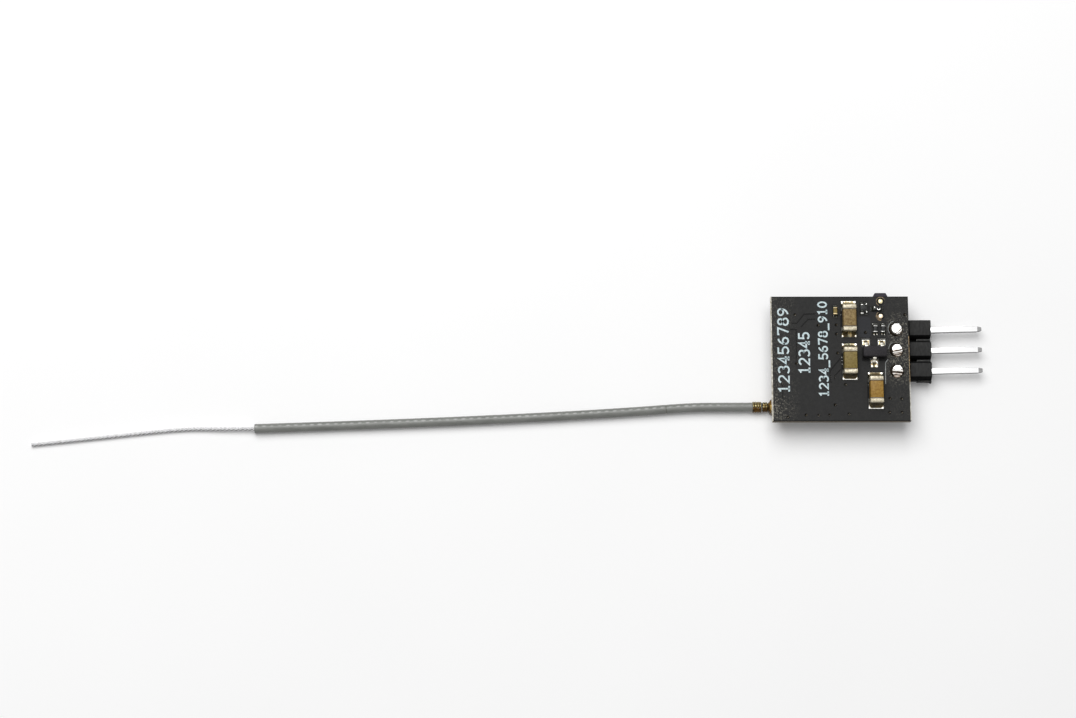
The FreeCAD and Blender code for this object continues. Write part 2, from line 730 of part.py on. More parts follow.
def make_switch():
    """Side-pressed switch, drawn against the board's back edge and sized from its button."""
    x = board_right - switch_from_right
    front = board_back - switch_setback
    rear = front - switch_depth
    cavity_front = front - switch_wall
    cavity_rear = rear + switch_wall
    cavity_half = button_width / 2 + flange_ear + flange_play
    left = x - cavity_half - switch_wall
    right = x + cavity_half + switch_wall
    case_low = board_bottom - switch_height + cover_thickness
    floor_low = board_bottom - switch_floor
    button_top = floor_low - button_play
    button_low = button_top - button_height
    mouth_half = button_width / 2 + button_play

    contacts = []
    for side in (-1, 1):
        contacts.append(block(contact_width, contact_reach + switch_wall + contact_root, contact_thickness,
                              x + side * (cavity_half - contact_inset),
                              (rear - contact_reach + cavity_rear + contact_root) / 2,
                              board_bottom - contact_thickness))
    base = slab(left, right, rear, front, case_low, board_bottom)
    base = base.cut(slab(x - cavity_half, x + cavity_half, cavity_rear, cavity_front, case_low, floor_low))
    base = base.cut(slab(x - mouth_half, x + mouth_half, cavity_front, front, button_low - button_play, floor_low))
    parts["switch_base"] = base.cut(Part.makeCompound(contacts))
    parts["switch_contacts"] = Part.makeCompound(contacts)

    plate = slab(left, right, rear, front, case_low - cover_thickness, case_low)
    tabs = []
    for tab_x in (left - cover_thickness, right):
        tabs.append(block(cover_thickness, cover_tab_width, switch_height, tab_x + cover_thickness / 2,
                          (front + rear) / 2, case_low - cover_thickness))
    parts["switch_cover"] = plate.fuse(tabs).removeSplitter()

    flange_front = cavity_front - button_stop_play
    flange_rear = flange_front - flange_depth
    nose_rear = flange_rear - nose_depth
    tip = board_back + button_reach
    half = button_width / 2
    flange_half = half + flange_ear
    right_side = (
        (nose_width / 2, nose_rear), (nose_width / 2, flange_rear), (flange_half, flange_rear),
        (flange_half, flange_front), (half, flange_front), (half, tip - button_taper_length),
        (half - button_taper_width, tip),
    )
    outline = [(x + across, y, button_low) for across, y in right_side]
    outline += [(x - across, y, button_low) for across, y in right_side[::-1]]
    parts["bind_button"] = prism(outline, (0, 0, button_height))

    apex = nose_rear - button_travel - dome_play
    outer_half = cavity_half - dome_side_play
    inner_half = outer_half - dome_thickness
    low = (button_low + button_top - dome_height) / 2
    outer = Part.Arc(Vector(x - outer_half, cavity_rear, low), Vector(x, apex, low),
                     Vector(x + outer_half, cavity_rear, low)).toShape()
    inner = Part.Arc(Vector(x + inner_half, cavity_rear, low), Vector(x, apex - dome_thickness, low),
                     Vector(x - inner_half, cavity_rear, low)).toShape()
    right_foot = Part.makeLine(Vector(x + outer_half, cavity_rear, low), Vector(x + inner_half, cavity_rear, low))
    left_foot = Part.makeLine(Vector(x - inner_half, cavity_rear, low), Vector(x - outer_half, cavity_rear, low))
    strip = Part.Face(Part.Wire([outer, right_foot, inner, left_foot]))
    parts["switch_dome"] = strip.extrude(Vector(0, 0, dome_height))


def make_underside():
    """Chips, crystal and lamp with their pads, then the small chips in two groups."""
    pads = []
    packages = (
        ("radio_chip", radio_side, radio_height, radio_pads_per_side, radio_place),
        ("processor", processor_side, processor_height, processor_pads_per_side, processor_place),
    )
    for name, side, height, pads_per_side, place in packages:
        body, chip_pads = flat_package(side, height, pads_per_side)
        parts[name + "_body"] = on_bottom(body, place)
        parts[name + "_pads"] = Part.makeCompound([on_bottom(pad, place) for pad in chip_pads])
        pads.append(copper_under(side, side, place))

    lid_top = crystal_base_height + crystal_lid_height
    lid = block(crystal_length - 2 * crystal_lid_inset, crystal_width - 2 * crystal_lid_inset,
                crystal_lid_height, z=crystal_base_height)
    lid = lid.makeChamfer(crystal_lid_chamfer, flat_edges(lid, "Z", lid_top))
    parts["crystal_base"] = on_bottom(block(crystal_length, crystal_width, crystal_base_height), crystal_place)
    parts["crystal_lid"] = on_bottom(lid, crystal_place)
    pads.append(copper_under(crystal_length, crystal_width, crystal_place))

    lens = block(lamp_lens_length, lamp_width, lamp_lens_height, z=lamp_base_height)
    lens = lens.makeChamfer(lamp_lens_chamfer, flat_edges(lens, "Z", lamp_base_height + lamp_lens_height))
    parts["status_led_base"] = on_bottom(block(lamp_length, lamp_width, lamp_base_height), lamp_place)
    parts["status_led_lens"] = on_bottom(lens, lamp_place)
    pads.append(copper_under(lamp_length, lamp_width - 2 * copper_margin, lamp_place))

    terminals = []
    groups = (
        ("matching_part_bodies", matching_places, small_resistor_height, 90),
        ("decoupling_capacitor_bodies", decoupling_places, small_capacitor_height, 0),
    )
    pair = pad_pair(small_width + 2 * small_pad_margin, small_pad_length, small_length / 2 + small_pad_toe)
    for name, places, height, angle in groups:
        body, ends = chip(small_length, small_width, height, small_end)
        parts[name] = Part.makeCompound([on_bottom(body, place, angle) for place in places])
        for place in places:
            terminals += [on_bottom(end, place, angle) for end in ends]
            pads += [on_bottom(pad, place, angle) for pad in pair]
    parts["underside_chip_terminals"] = Part.makeCompound(terminals)
    return pads


make_board()
make_header()
parts["copper_pads_top"] = Part.makeCompound(make_bulk_capacitors() + make_regulator() + make_small_parts())
make_test_points()
make_antenna_socket()
make_plug()
make_antenna_lead()
make_switch()
parts["copper_pads_bottom"] = Part.makeCompound(make_underside())

os.makedirs("parts", exist_ok=True)
for name, shape in parts.items():
    print("%-30s solids %2d volume %9.4f valid %s" % (name, len(shape.Solids), shape.Volume, shape.isValid()))
    shape.exportStep("parts/" + name + ".step")
print(len(parts), "nodes")
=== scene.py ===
# %% [markdown]
# # A miniature radio-control receiver
# The object is a bare circuit board the size of a thumbnail. It carries a three-pin header, a bind
# button and a coaxial antenna lead. Its construction is already modelled as solids. This lesson dresses
# those solids: it lays the lead, adds solder, print and bevels, and gives each surface its finish.
# We begin by loading the solids, because every piece below takes its place from them.

# %% Load the solids
import math
import bpy
import bmesh
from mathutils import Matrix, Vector, noise
from mathutils.geometry import delaunay_2d_cdt


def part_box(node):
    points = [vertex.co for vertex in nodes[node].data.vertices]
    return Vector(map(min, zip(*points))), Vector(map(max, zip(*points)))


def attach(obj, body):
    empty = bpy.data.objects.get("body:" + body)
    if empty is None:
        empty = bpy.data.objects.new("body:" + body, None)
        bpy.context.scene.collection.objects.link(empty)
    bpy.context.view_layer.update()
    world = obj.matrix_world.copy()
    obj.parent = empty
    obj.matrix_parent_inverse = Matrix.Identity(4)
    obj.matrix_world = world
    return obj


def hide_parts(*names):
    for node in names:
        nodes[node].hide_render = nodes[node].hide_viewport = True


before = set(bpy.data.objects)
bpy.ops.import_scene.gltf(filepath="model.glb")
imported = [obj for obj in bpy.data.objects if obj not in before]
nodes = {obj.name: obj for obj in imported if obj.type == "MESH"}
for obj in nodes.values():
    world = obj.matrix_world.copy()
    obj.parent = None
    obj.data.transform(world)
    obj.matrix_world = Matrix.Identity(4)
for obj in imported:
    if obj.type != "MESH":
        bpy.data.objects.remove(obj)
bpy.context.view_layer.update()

# %% [markdown]
# Blender counts in metres and this part in millimetres. One factor, MM, keeps the numbers readable.
# `span` reads where a solid lies, so that nothing has to be measured twice.

# %% Units and places
MM = 0.001


def span(node):
    """Lowest and highest corner of a solid, in millimetres."""
    low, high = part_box(node)
    return Vector(low) / MM, Vector(high) / MM


def put_in_scene(name, data):
    """Object of that name round some data, in the scene."""
    thing = bpy.data.objects.new(name, data)
    bpy.context.scene.collection.objects.link(thing)
    return thing


board_low, board_high = span("circuit_board")
board_middle = (board_low + board_high) / 2
board_top = board_high.z
print("board", [round(value, 2) for value in board_high - board_low], "mm, top at", round(board_top, 2))

# %% [markdown]
# ## The camera
# The photograph was taken from almost straight above, leaning back ten degrees, with a long lens. A
# long lens keeps the two ends of the lead at nearly the same size. The picture is 1076 pixels wide,
# and a focal length of 2400 of those pixels gives the lens for a 36 mm sensor.

# %% Camera at the photograph's angle
PHOTO_WIDTH = 1076
FOCAL_PIXELS = 2400
SENSOR = 36.0
CAMERA_LEAN = math.radians(10)
CAMERA_TURN = -0.00146
CAMERA_DISTANCE = 289.0
CAMERA_AIM = Vector((board_middle.x - 36.45, board_middle.y + 0.006, board_top))

camera_data = bpy.data.cameras.new("camera")
camera_data.sensor_width = SENSOR
camera_data.lens = FOCAL_PIXELS / PHOTO_WIDTH * SENSOR
camera_data.clip_start = 0.01
camera_data.clip_end = 20
camera = put_in_scene("camera", camera_data)
camera.rotation_euler = (CAMERA_LEAN, 0, CAMERA_TURN)
back = camera.rotation_euler.to_matrix() @ Vector((0, 0, CAMERA_DISTANCE))
camera.location = (CAMERA_AIM + back) * MM
bpy.context.scene.camera = camera
print("lens", round(camera_data.lens, 1), "mm, camera", round(CAMERA_DISTANCE), "mm away")

# %% [markdown]
# ## Node helpers
# A finish is a small graph of nodes. Making a node, giving it its settings and filling its sockets is
# the same work each time, so two helpers do that, and one short helper for each kind of node keeps the
# materials readable. Nearly every finish needs the same three things: a coordinate that stays with the
# object, a noise, and a colour ramp.

# %% Helpers for shader nodes
def rgba(colour):
    """Full colour from a colour, or from one number for a grey."""
    return (*colour, 1.0) if hasattr(colour, "__len__") else (colour, colour, colour, 1.0)


def fill(tree, node, values):
    """Fills a node's sockets. A socket of another node is linked, and anything else is set."""
    for name, value in values.items():
        socket = node.inputs[name]
        if isinstance(value, bpy.types.NodeSocket):
            tree.links.new(value, socket)
        else:
            socket.default_value = rgba(value) if socket.type == "RGBA" else value


def add_node(tree, kind, values=(), **settings):
    """New node of a kind, with its settings made and its sockets filled."""
    node = tree.nodes.new(kind)
    for name, value in settings.items():
        setattr(node, name, value)
    fill(tree, node, dict(values))
    return node


def new_material(name):
    """Node material, its tree and its main shader."""
    material = bpy.data.materials.new(name)
    material.use_nodes = True
    return material, material.node_tree, material.node_tree.nodes["Principled BSDF"]


def place_vector(tree, stretch=(1, 1, 1)):
    """Object coordinates in millimetres, squeezed along any axis so that a noise draws streaks."""
    source = add_node(tree, "ShaderNodeTexCoord").outputs["Object"]
    scale = [value / MM for value in stretch]
    return add_node(tree, "ShaderNodeMapping", {"Scale": scale, "Vector": source}).outputs["Vector"]


def add_noise(tree, vector, scale, detail=4.0, roughness=0.6):
    """Noise value, with features of about 1/scale millimetres."""
    values = {"Scale": scale, "Detail": detail, "Roughness": roughness, "Vector": vector}
    return add_node(tree, "ShaderNodeTexNoise", values).outputs["Fac"]


def add_ramp(tree, value, *stops):
    """Colours or greys along a value. Each stop is (position, colour)."""
    node = add_node(tree, "ShaderNodeValToRGB", {"Fac": value})
    elements = node.color_ramp.elements
    while len(elements) < len(stops):
        elements.new(0.5)
    for element, (position, colour) in zip(elements, stops):
        element.position = position
        element.color = rgba(colour)
    return node.outputs["Color"]


def add_mix(tree, factor, first, second):
    """Blends two colours. Each is a socket or a plain colour."""
    values = {"Factor": factor, "A": first, "B": second}
    return add_node(tree, "ShaderNodeMix", values, data_type="RGBA").outputs["Result"]


def add_math(tree, operation, *terms):
    """One step of arithmetic. Each term is a socket or a number."""
    return add_node(tree, "ShaderNodeMath", enumerate(terms), operation=operation).outputs[0]


def add_axis(tree, vector, axis):
    """One axis of a vector."""
    return add_node(tree, "ShaderNodeSeparateXYZ", {"Vector": vector}).outputs[axis]


def add_facing(tree, axis):
    """How squarely the surface faces along an axis, from -1 to 1."""
    return add_axis(tree, add_node(tree, "ShaderNodeNewGeometry").outputs["Normal"], axis)


def add_number(tree, name):
    """Number that each point of the mesh carries under a name."""
    return add_node(tree, "ShaderNodeAttribute", attribute_name=name).outputs["Fac"]


def add_bump(tree, height, shader, distance):
    """Bump of that real height in millimetres."""
    bump = add_node(tree, "ShaderNodeBump", {"Distance": distance * MM, "Height": height})
    fill(tree, shader, {"Normal": bump.outputs["Normal"]})


print("node helpers ready")

# %% [markdown]
# Most surfaces here are mottled between two colours, with gloss that varies a little and a fine relief.
# One function makes that finish, and each later one is a line of numbers: two colours, roughness,
# metallic, scale, relief, and how much it mirrors.

# %% A mottled finish
WEAR = 0.1
GRAIN = 3.0


def finish(name, dark, light, roughness, metallic=0.0, scale=6.0, bump=0.004, mirror=0.5,
           stretch=(1, 1, 1)):
    """Mottled finish between two colours, with uneven gloss and a fine relief."""
    material, tree, shader = new_material(name)
    vector = place_vector(tree, stretch)
    grain = add_noise(tree, vector, scale * GRAIN, 3.0)
    fill(tree, shader, {
        "Base Color": add_ramp(tree, add_noise(tree, vector, scale), (0.35, dark), (0.65, light)),
        "Roughness": add_ramp(tree, grain, (0.3, roughness - WEAR), (0.7, roughness + WEAR)),
        "Metallic": metallic, "Specular IOR Level": mirror})
    add_bump(tree, grain, shader, bump)
    return material


print("mottled finish ready")

# %% [markdown]
# ## The finishes
# The board is black solder mask over glass-epoxy laminate, and the laminate shows only on its cut
# sides. One material can do both: it looks at which way the surface faces. The left side was snapped
# along a score, which tears the glass fibres and leaves them pale. The other sides were milled, and
# are darker. The mask is rough where copper with a coarse texture lies under it, so light specks are
# sprinkled towards the left edge and round the header, where flux has dried.

# %% Board: solder mask above and below, bare laminate at the sides
HEADER_MIDDLE = 0.8
DRIED_FLUX = (0.36, 0.34, 0.28)
MILLED = (0.3, (0.04, 0.032, 0.022)), (0.55, (0.13, 0.105, 0.07)), (0.75, (0.30, 0.25, 0.18))
SNAPPED = (0.3, (0.30, 0.25, 0.17)), (0.5, (0.58, 0.53, 0.42)), (0.72, (0.80, 0.77, 0.69))


def speckled_region(tree, vector):
    """Up to 1 where the mask is rough, at the left edge and beside the header, and 0 elsewhere."""
    x, y = add_axis(tree, vector, "X"), add_axis(tree, vector, "Y")
    left = add_ramp(tree, add_math(tree, "MULTIPLY_ADD", x, 0.25, 3.35), (0.0, 1.0), (1.0, 0.0))
    from_front = add_math(tree, "MULTIPLY", add_math(tree, "ADD", y, 8.0), 0.25)
    left = add_math(tree, "MULTIPLY", left, add_ramp(tree, from_front, (0.45, 1.0), (0.95, 0.42)))
    right = add_ramp(tree, add_math(tree, "MULTIPLY_ADD", x, 0.5, -0.35), (0.0, 0.0), (0.5, 0.8))
    from_header = add_math(tree, "ABSOLUTE", add_math(tree, "SUBTRACT", y, HEADER_MIDDLE))
    beside = add_ramp(tree, add_math(tree, "MULTIPLY", from_header, 0.2), (0.55, 1.0), (0.95, 0.1))
    return add_math(tree, "MAXIMUM", left, add_math(tree, "MULTIPLY", right, beside))


def board_material(name, mask_dark, mask_light, roughness, specks):
    """Solder mask where the face looks up or down, layered laminate where it looks sideways."""
    material, tree, shader = new_material(name)
    vector = place_vector(tree)
    mask = add_ramp(tree, add_noise(tree, vector, 2.4, 8.0, 0.8), (0.3, mask_dark), (0.7, mask_light))
    region = speckled_region(tree, vector)
    pale = add_ramp(tree, add_noise(tree, vector, 5.5, 4.0, 0.9), (0.545, 0.0), (0.60, 1.0))
    pale = add_math(tree, "MULTIPLY", add_math(tree, "MULTIPLY", pale, region), specks)
    pits = add_ramp(tree, add_noise(tree, vector, 6.5, 4.0, 0.85), (0.38, 1.0), (0.45, 0.0))
    mask = add_mix(tree, pale, mask, DRIED_FLUX)
    mask = add_mix(tree, add_math(tree, "MULTIPLY", pits, region), mask, 0.002)
    fibres = add_noise(tree, place_vector(tree, (0.8, 0.8, 12)), 2.2, 6.0, 0.7)
    leftward = add_math(tree, "MULTIPLY", add_facing(tree, "X"), -1.0)
    laminate = add_mix(tree, add_ramp(tree, leftward, (0.4, 0.0), (0.6, 1.0)),
                       add_ramp(tree, fibres, *MILLED), add_ramp(tree, fibres, *SNAPPED))
    level = add_ramp(tree, add_math(tree, "ABSOLUTE", add_facing(tree, "Z")), (0.35, 0.0), (0.5, 1.0))
    grain = add_noise(tree, vector, 9.0, 4.0)
    fill(tree, shader, {
        "Base Color": add_mix(tree, level, laminate, mask),
        "Roughness": add_ramp(tree, grain, (0.3, roughness - 0.1), (0.7, roughness + 0.12)),
        "Specular IOR Level": 0.15})
    add_bump(tree, grain, shader, 0.012)
    return material


mask_black = board_material("solder_mask_black", 0.011, (0.023, 0.023, 0.0225), 0.55, 1.0)
# Darker copy of the mask for the board itself, seen in every moat, groove and via pit: painted shade there.
mask_low_shade = board_material("solder_mask_low_shade", 0.002, 0.006, 0.6, 0.0)
mask_blue = board_material("solder_mask_smooth", (0.011, 0.012, 0.0145), (0.019, 0.020, 0.023), 0.42, 0.0)
print("board finishes:", mask_black.name, mask_low_shade.name, mask_blue.name)

# %% [markdown]
# Solder, tin and gold are metals, and their look comes from what they mirror. In a white studio they
# would all turn white, so what tells them apart is the film on them, and painted shade. Flux leaves an
# amber crust where the solder was last liquid, and a thin greenish or golden stain round it. Each mesh of
# solder below carries a number for flux and painted shade, worked out from its own shape, and this
# material paints by it: bright metal at 0, stain at about a third, crust from a half up. The same dark
# crust is painted where solder faces the front, on steps and in creases, as painted shade and painted
# dark reflection.

# %% Metals
def solder_material(name, crust_dark, crust_light, clean_dark, clean_light,
                    stain_green=(0.20, 0.20, 0.14), stain_gold=(0.40, 0.30, 0.16), crust_metal=0.15):
    """Bright solder where the number is 0, stained at a third, and dark amber crust, also painted shade,
    where it is 1.
    """
    material, tree, shader = new_material(name)
    vector = place_vector(tree)
    patchy = add_noise(tree, vector, 3.2, 5.0, 0.75)
    crust_and_shade = add_ramp(tree, patchy, (0.38, crust_dark), (0.68, crust_light))
    clean = add_ramp(tree, add_noise(tree, vector, 5.0, 4.0), (0.3, clean_dark), (0.6, clean_light))
    tint = add_ramp(tree, add_noise(tree, vector, 1.6, 3.0), (0.42, stain_green), (0.58, stain_gold))
    drift = add_math(tree, "MULTIPLY", add_math(tree, "SUBTRACT", patchy, 0.5), 0.7)
    film = add_math(tree, "ADD", add_number(tree, "flux_and_shade"), drift)
    metal = add_mix(tree, add_ramp(tree, film, (0.10, 0.0), (0.26, 1.0)), clean, tint)
    covered = add_ramp(tree, film, (0.40, 0.0), (0.58, 1.0))
    fill(tree, shader, {
        "Base Color": add_mix(tree, covered, metal, crust_and_shade),
        "Metallic": add_ramp(tree, covered, (0.0, 1.0), (1.0, crust_metal)),
        "Roughness": add_ramp(tree, covered, (0.0, 0.22), (1.0, 0.34)),
        "Specular IOR Level": 0.25})
    add_bump(tree, add_noise(tree, vector, 6.0, 4.0), shader, 0.02)
    return material


solder = solder_material("solder_with_flux_and_shade", (0.006, 0.005, 0.002), (0.10, 0.068, 0.018),
                         (0.62, 0.60, 0.52), (0.95, 0.95, 0.92))
dome_solder = solder_material("solder_on_legs", (0.004, 0.003, 0.002), (0.045, 0.03, 0.018),
                              (0.72, 0.71, 0.67), (0.97, 0.97, 0.95),
                              stain_green=(0.38, 0.31, 0.26), stain_gold=(0.50, 0.40, 0.32))
solder_dim = solder_material("solder_small_joints", (0.004, 0.005, 0.004), (0.022, 0.024, 0.018),
                             (0.50, 0.50, 0.46), (0.90, 0.90, 0.88))
cap_metal = solder_material("small_end_caps", (0.005, 0.006, 0.004), (0.03, 0.032, 0.02),
                            (0.12, 0.12, 0.115), (0.20, 0.20, 0.195))
cap_olive = solder_material("olive_end_caps", (0.008, 0.008, 0.003), (0.06, 0.05, 0.015),
                            (0.12, 0.11, 0.05), (0.34, 0.31, 0.16))
tin_plate = finish("tin_plate", (0.30, 0.26, 0.17), (0.62, 0.57, 0.45), 0.42, 0.45, 3.4, 0.02)
tin_dim = finish("tin_dim", (0.012, 0.012, 0.010), (0.05, 0.05, 0.045), 0.4, 0.6, 2.0, 0.006)
tin_copper = finish("tinned_copper", (0.42, 0.40, 0.34), (0.74, 0.72, 0.64), 0.30, 1.0, 4.0, 0.01)
gold = finish("gold_plate", (0.30, 0.20, 0.06), (0.72, 0.54, 0.24), 0.26, 1.0, 2.6, 0.014)
gold_pale = finish("gold_pale", (0.52, 0.44, 0.22), (0.88, 0.82, 0.58), 0.34, 0.6, 5.0, 0.01)
gold_pink = finish("gold_pink", (0.60, 0.45, 0.27), (0.90, 0.78, 0.62), 0.34, 0.6, 5.0, 0.01)
copper_tan = finish("copper_tan", (0.04, 0.028, 0.014), (0.24, 0.17, 0.09), 0.38, 0.5, 4.0, 0.01)
steel = finish("switch_steel", 0.50, (0.66, 0.66, 0.65), 0.33, 1.0, 3.0, stretch=(0.2, 1, 1))
print("metals ready")

# %% [markdown]
# The pins and the antenna's strands are drawn wire. A pin is bright on its rolled faces and dull at its
# sheared tip, and its sides are painted dark as painted shade. A strand is bright on its crown, with
# painted shade in the groove beside the next one and painted light on its lower side. Where a mesh knows
# better than the surface's direction, it carries a number for dull metal and painted shade.

# %% Drawn wire: pins and strands
def wire_material(name, stretch, detail, metallic, mirror, paint):
    """Wire whose paint function gives its colour and its roughness from a grain."""
    material, tree, shader = new_material(name)
    grain = add_noise(tree, place_vector(tree, stretch), 4.0, detail)
    colour, gloss = paint(tree, grain, add_number(tree, "dull_and_shade"))
    fill(tree, shader, {"Base Color": colour, "Roughness": gloss, "Metallic": metallic,
                        "Specular IOR Level": mirror})
    add_bump(tree, grain, shader, 0.003)
    return material


def pin_paint(tree, grain, dull_and_shade):
    """Bright rolled faces, sides painted dark as painted shade, and a dull sheared tip."""
    # Painted shade: every face that doesn't look straight up or down is painted near black.
    painted_side_shade = add_ramp(tree, add_math(tree, "ABSOLUTE", add_facing(tree, "Z")), (0.55, 1.0), (0.8, 0.0))
    sheared_tip_and_side_shade = add_math(tree, "MAXIMUM", painted_side_shade, dull_and_shade)
    colour = add_mix(tree, sheared_tip_and_side_shade, add_ramp(tree, grain, (0.3, 0.93), (0.7, 0.98)),
                     add_ramp(tree, grain, (0.3, 0.03), (0.7, 0.17)))
    return colour, add_ramp(tree, sheared_tip_and_side_shade, (0.0, 0.16), (1.0, 0.36))


def strand_paint(tree, grain, dull_and_shade):
    """Silvered crown, with painted shade in the groove and painted light on the lower side."""
    crown = add_ramp(tree, grain, (0.3, (0.63, 0.63, 0.635)), (0.7, (0.74, 0.74, 0.75)))
    # Painted light: the lower side is painted paler, in place of light that would reach it from the floor.
    lower = add_ramp(tree, add_facing(tree, "Z"), (0.1, 1.0), (0.6, 0.0))
    colour = add_mix(tree, dull_and_shade, add_mix(tree, lower, crown, 0.92), (0.035, 0.033, 0.03))
    return colour, add_ramp(tree, grain, (0.3, 0.2), (0.7, 0.36))


pin_tin = wire_material("pin_tin", (0.3, 1, 1), 4.0, 1.0, 0.5, pin_paint)
silver = wire_material("silvered_wire", (1, 1, 1), 3.0, 0.2, 0.1, strand_paint)
print("wire finishes:", pin_tin.name, silver.name)

# %% [markdown]
# Ceramic, overglaze, epoxy, nylon and ink are all mottled finishes. The black ones get little mirror,
# or the white studio would turn them grey. The jacket's grey is mixed with two more colours, by a
# number called `pick` that its mesh carries: paler over the picks of its braid, with a painted highlight
# along one row of them, and painted shade in its nick.

# %% Ceramics, plastics and print
DARK_MIRROR = 0.2
ceramic_brown = finish("ceramic_brown", (0.14, 0.085, 0.026), (0.31, 0.225, 0.095), 0.45, 0.0, 4.5, 0.012,
                       DARK_MIRROR)
ceramic_olive = finish("ceramic_olive", (0.148, 0.105, 0.023), (0.237, 0.178, 0.055), 0.42, 0.0, 4.0, 0.01,
                       DARK_MIRROR)
ceramic_amber = finish("ceramic_amber", (0.22, 0.115, 0.014), (0.36, 0.215, 0.045), 0.42, 0.0, 4.0, 0.01,
                       DARK_MIRROR)
overglaze = finish("resistor_overglaze", (0.004, 0.0045, 0.005), (0.014, 0.015, 0.014), 0.34, 0.0, 6.0,
                   0.006, DARK_MIRROR)
epoxy = finish("moulded_epoxy", (0.007, 0.0065, 0.008), (0.022, 0.0195, 0.022), 0.6, 0.0, 6.0, 0.012,
               DARK_MIRROR)
button_nylon = finish("button_nylon", (0.016, 0.013, 0.020), (0.034, 0.028, 0.040), 0.5, 0.0, 4.0, 0.006,
                      DARK_MIRROR)
switch_black = finish("switch_black", 0.012, 0.026, 0.5, 0.0, 4.0, 0.006, DARK_MIRROR)
# Painted shade: near-black line where a cap meets its body.
cap_edge_shade = finish("cap_edge_shade", (0.008, 0.004, 0.001), (0.06, 0.036, 0.010), 0.5)
polymer = finish("connector_polymer", (0.55, 0.52, 0.44), (0.74, 0.71, 0.62), 0.5, 0.0, 4.0, 0.006)
alumina = finish("alumina", (0.36, 0.32, 0.27), (0.50, 0.46, 0.40), 0.5, 0.0, 6.0, 0.006)
print_white = finish("print_white", (0.40, 0.52, 0.55), (0.72, 0.82, 0.84), 0.6, 0.0, 5.0, 0.01)
print_grey = finish("print_grey", (0.10, 0.11, 0.11), (0.34, 0.35, 0.34), 0.6, 0.0, 5.0, 0.01)
lens = finish("lamp_lens", (0.78, 0.72, 0.45), (0.92, 0.88, 0.66), 0.18, 0.0, 4.0, 0.002)
lens.node_tree.nodes["Principled BSDF"].inputs["Transmission Weight"].default_value = 0.5


def jacket_material(name):
    """Grey jacket, paler over the picks of its braid and along a painted highlight, with painted shade in
    its nick.
    """
    material = finish(name, (0.150, 0.155, 0.142), (0.195, 0.20, 0.186), 0.34, 0.0, 1.6,
                      stretch=(0.3, 1, 1))
    tree = material.node_tree
    shader = tree.nodes["Principled BSDF"]
    plain = shader.inputs["Base Color"].links[0].from_socket
    pick = add_number(tree, "pick")
    # Painted shade: the nick is painted nearly black.
    nick_shade = add_math(tree, "MULTIPLY", pick, -1.0)
    pale = add_mix(tree, add_ramp(tree, pick, (0.25, 0.0), (1.0, 0.8)), plain, (0.40, 0.41, 0.39))
    fill(tree, shader, {"Base Color": add_mix(tree, add_ramp(tree, nick_shade, (0.2, 0.0), (1.0, 0.7)), pale,
                                              (0.05, 0.05, 0.03))})
    return material


jacket = jacket_material("cable_jacket")
print("plastics ready")

# %% [markdown]
# The header is glass-filled nylon. Its tops are slightly grey, and the shoulders between its cells are
# painted black, as painted shade on every face that doesn't look straight up or down. A glossy shoulder
# would mirror the white floor at this flat angle and turn grey, so the material has next to no mirror
# in it. The torn nylon of its scar and web has as little.

# %% Header nylon: grey tops, shoulders painted black as shade
NYLON_MIRROR = 0.02


def nylon_material(name):
    """Greyer where the face looks straight up or down, and painted black elsewhere as painted shade."""
    material, tree, shader = new_material(name)
    grain = add_noise(tree, place_vector(tree, (1.4, 0.5, 1)), 3.5, 5.0, 0.7)
    level = add_ramp(tree, add_math(tree, "ABSOLUTE", add_facing(tree, "Z")), (0.8, 0.0), (0.97, 1.0))
    top_grey = add_ramp(tree, grain, (0.3, 0.029), (0.7, (0.054, 0.054, 0.053)))
    # Painted shade: faces that don't look straight up or down are painted near black.
    painted_shade_shoulder = add_ramp(tree, grain, (0.3, 0.003), (0.7, 0.009))
    fill(tree, shader, {
        "Base Color": add_mix(tree, level, painted_shade_shoulder, top_grey),
        "Roughness": add_ramp(tree, level, (0.0, 0.5), (1.0, 0.6)),
        "Specular IOR Level": NYLON_MIRROR})
    add_bump(tree, grain, shader, 0.008)
    return material


nylon = nylon_material("header_nylon")
nylon_torn = finish("torn_nylon", 0.002, (0.065, 0.065, 0.063), 0.6, 0.0, 3.2, 0.03, NYLON_MIRROR)
# Painted highlight: paler nylon for the top of the web.
nylon_web_highlight = finish("nylon_web_highlight", 0.06, (0.12, 0.12, 0.115), 0.5, 0.0, 3.0, 0.01, NYLON_MIRROR)
print("header finishes:", nylon.name, nylon_torn.name, nylon_web_highlight.name)

# %% [markdown]
# ## Mesh helpers
# Nearly all small parts here are lofts: a ring of points carried along a line, with the ring's size
# changing on the way. A chip's end cap, a wire strand and a cable jacket are all one loft. `loft` takes
# the rings and skins them, and can give each point a number for its material to read. `keep` turns the
# result into an object that rides with its body.

# %% Helpers for meshes
def smooth_step(value, start, end):
    """Rises from 0 to 1 between two values, without corners."""
    share = min(max((value - start) / (end - start), 0.0), 1.0)
    return share * share * (3 - 2 * share)


def keep(name, bm, material, smooth=True, stands_for=()):
    """Finishes a mesh: object, material, body, and the solids that it stands for."""
    bmesh.ops.recalc_face_normals(bm, faces=bm.faces)
    mesh = bpy.data.meshes.new(name)
    bmesh.ops.scale(bm, vec=(MM, MM, MM), verts=bm.verts)
    bm.to_mesh(mesh)
    bm.free()
    for polygon in mesh.polygons:
        polygon.use_smooth = smooth
    piece = put_in_scene(name, mesh)
    mesh.materials.append(material)
    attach(piece, "receiver")
    if stands_for:
        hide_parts(*stands_for)
    return piece


def crisp(piece, angle):
    """Smooth shading that stays sharp where faces meet at more than this angle."""
    piece.data.set_sharp_from_angle(angle=math.radians(angle))


def number_layer(bm, name):
    """Layer that gives each point a number for the material to read."""
    return bm.verts.layers.float.get(name) or bm.verts.layers.float.new(name)


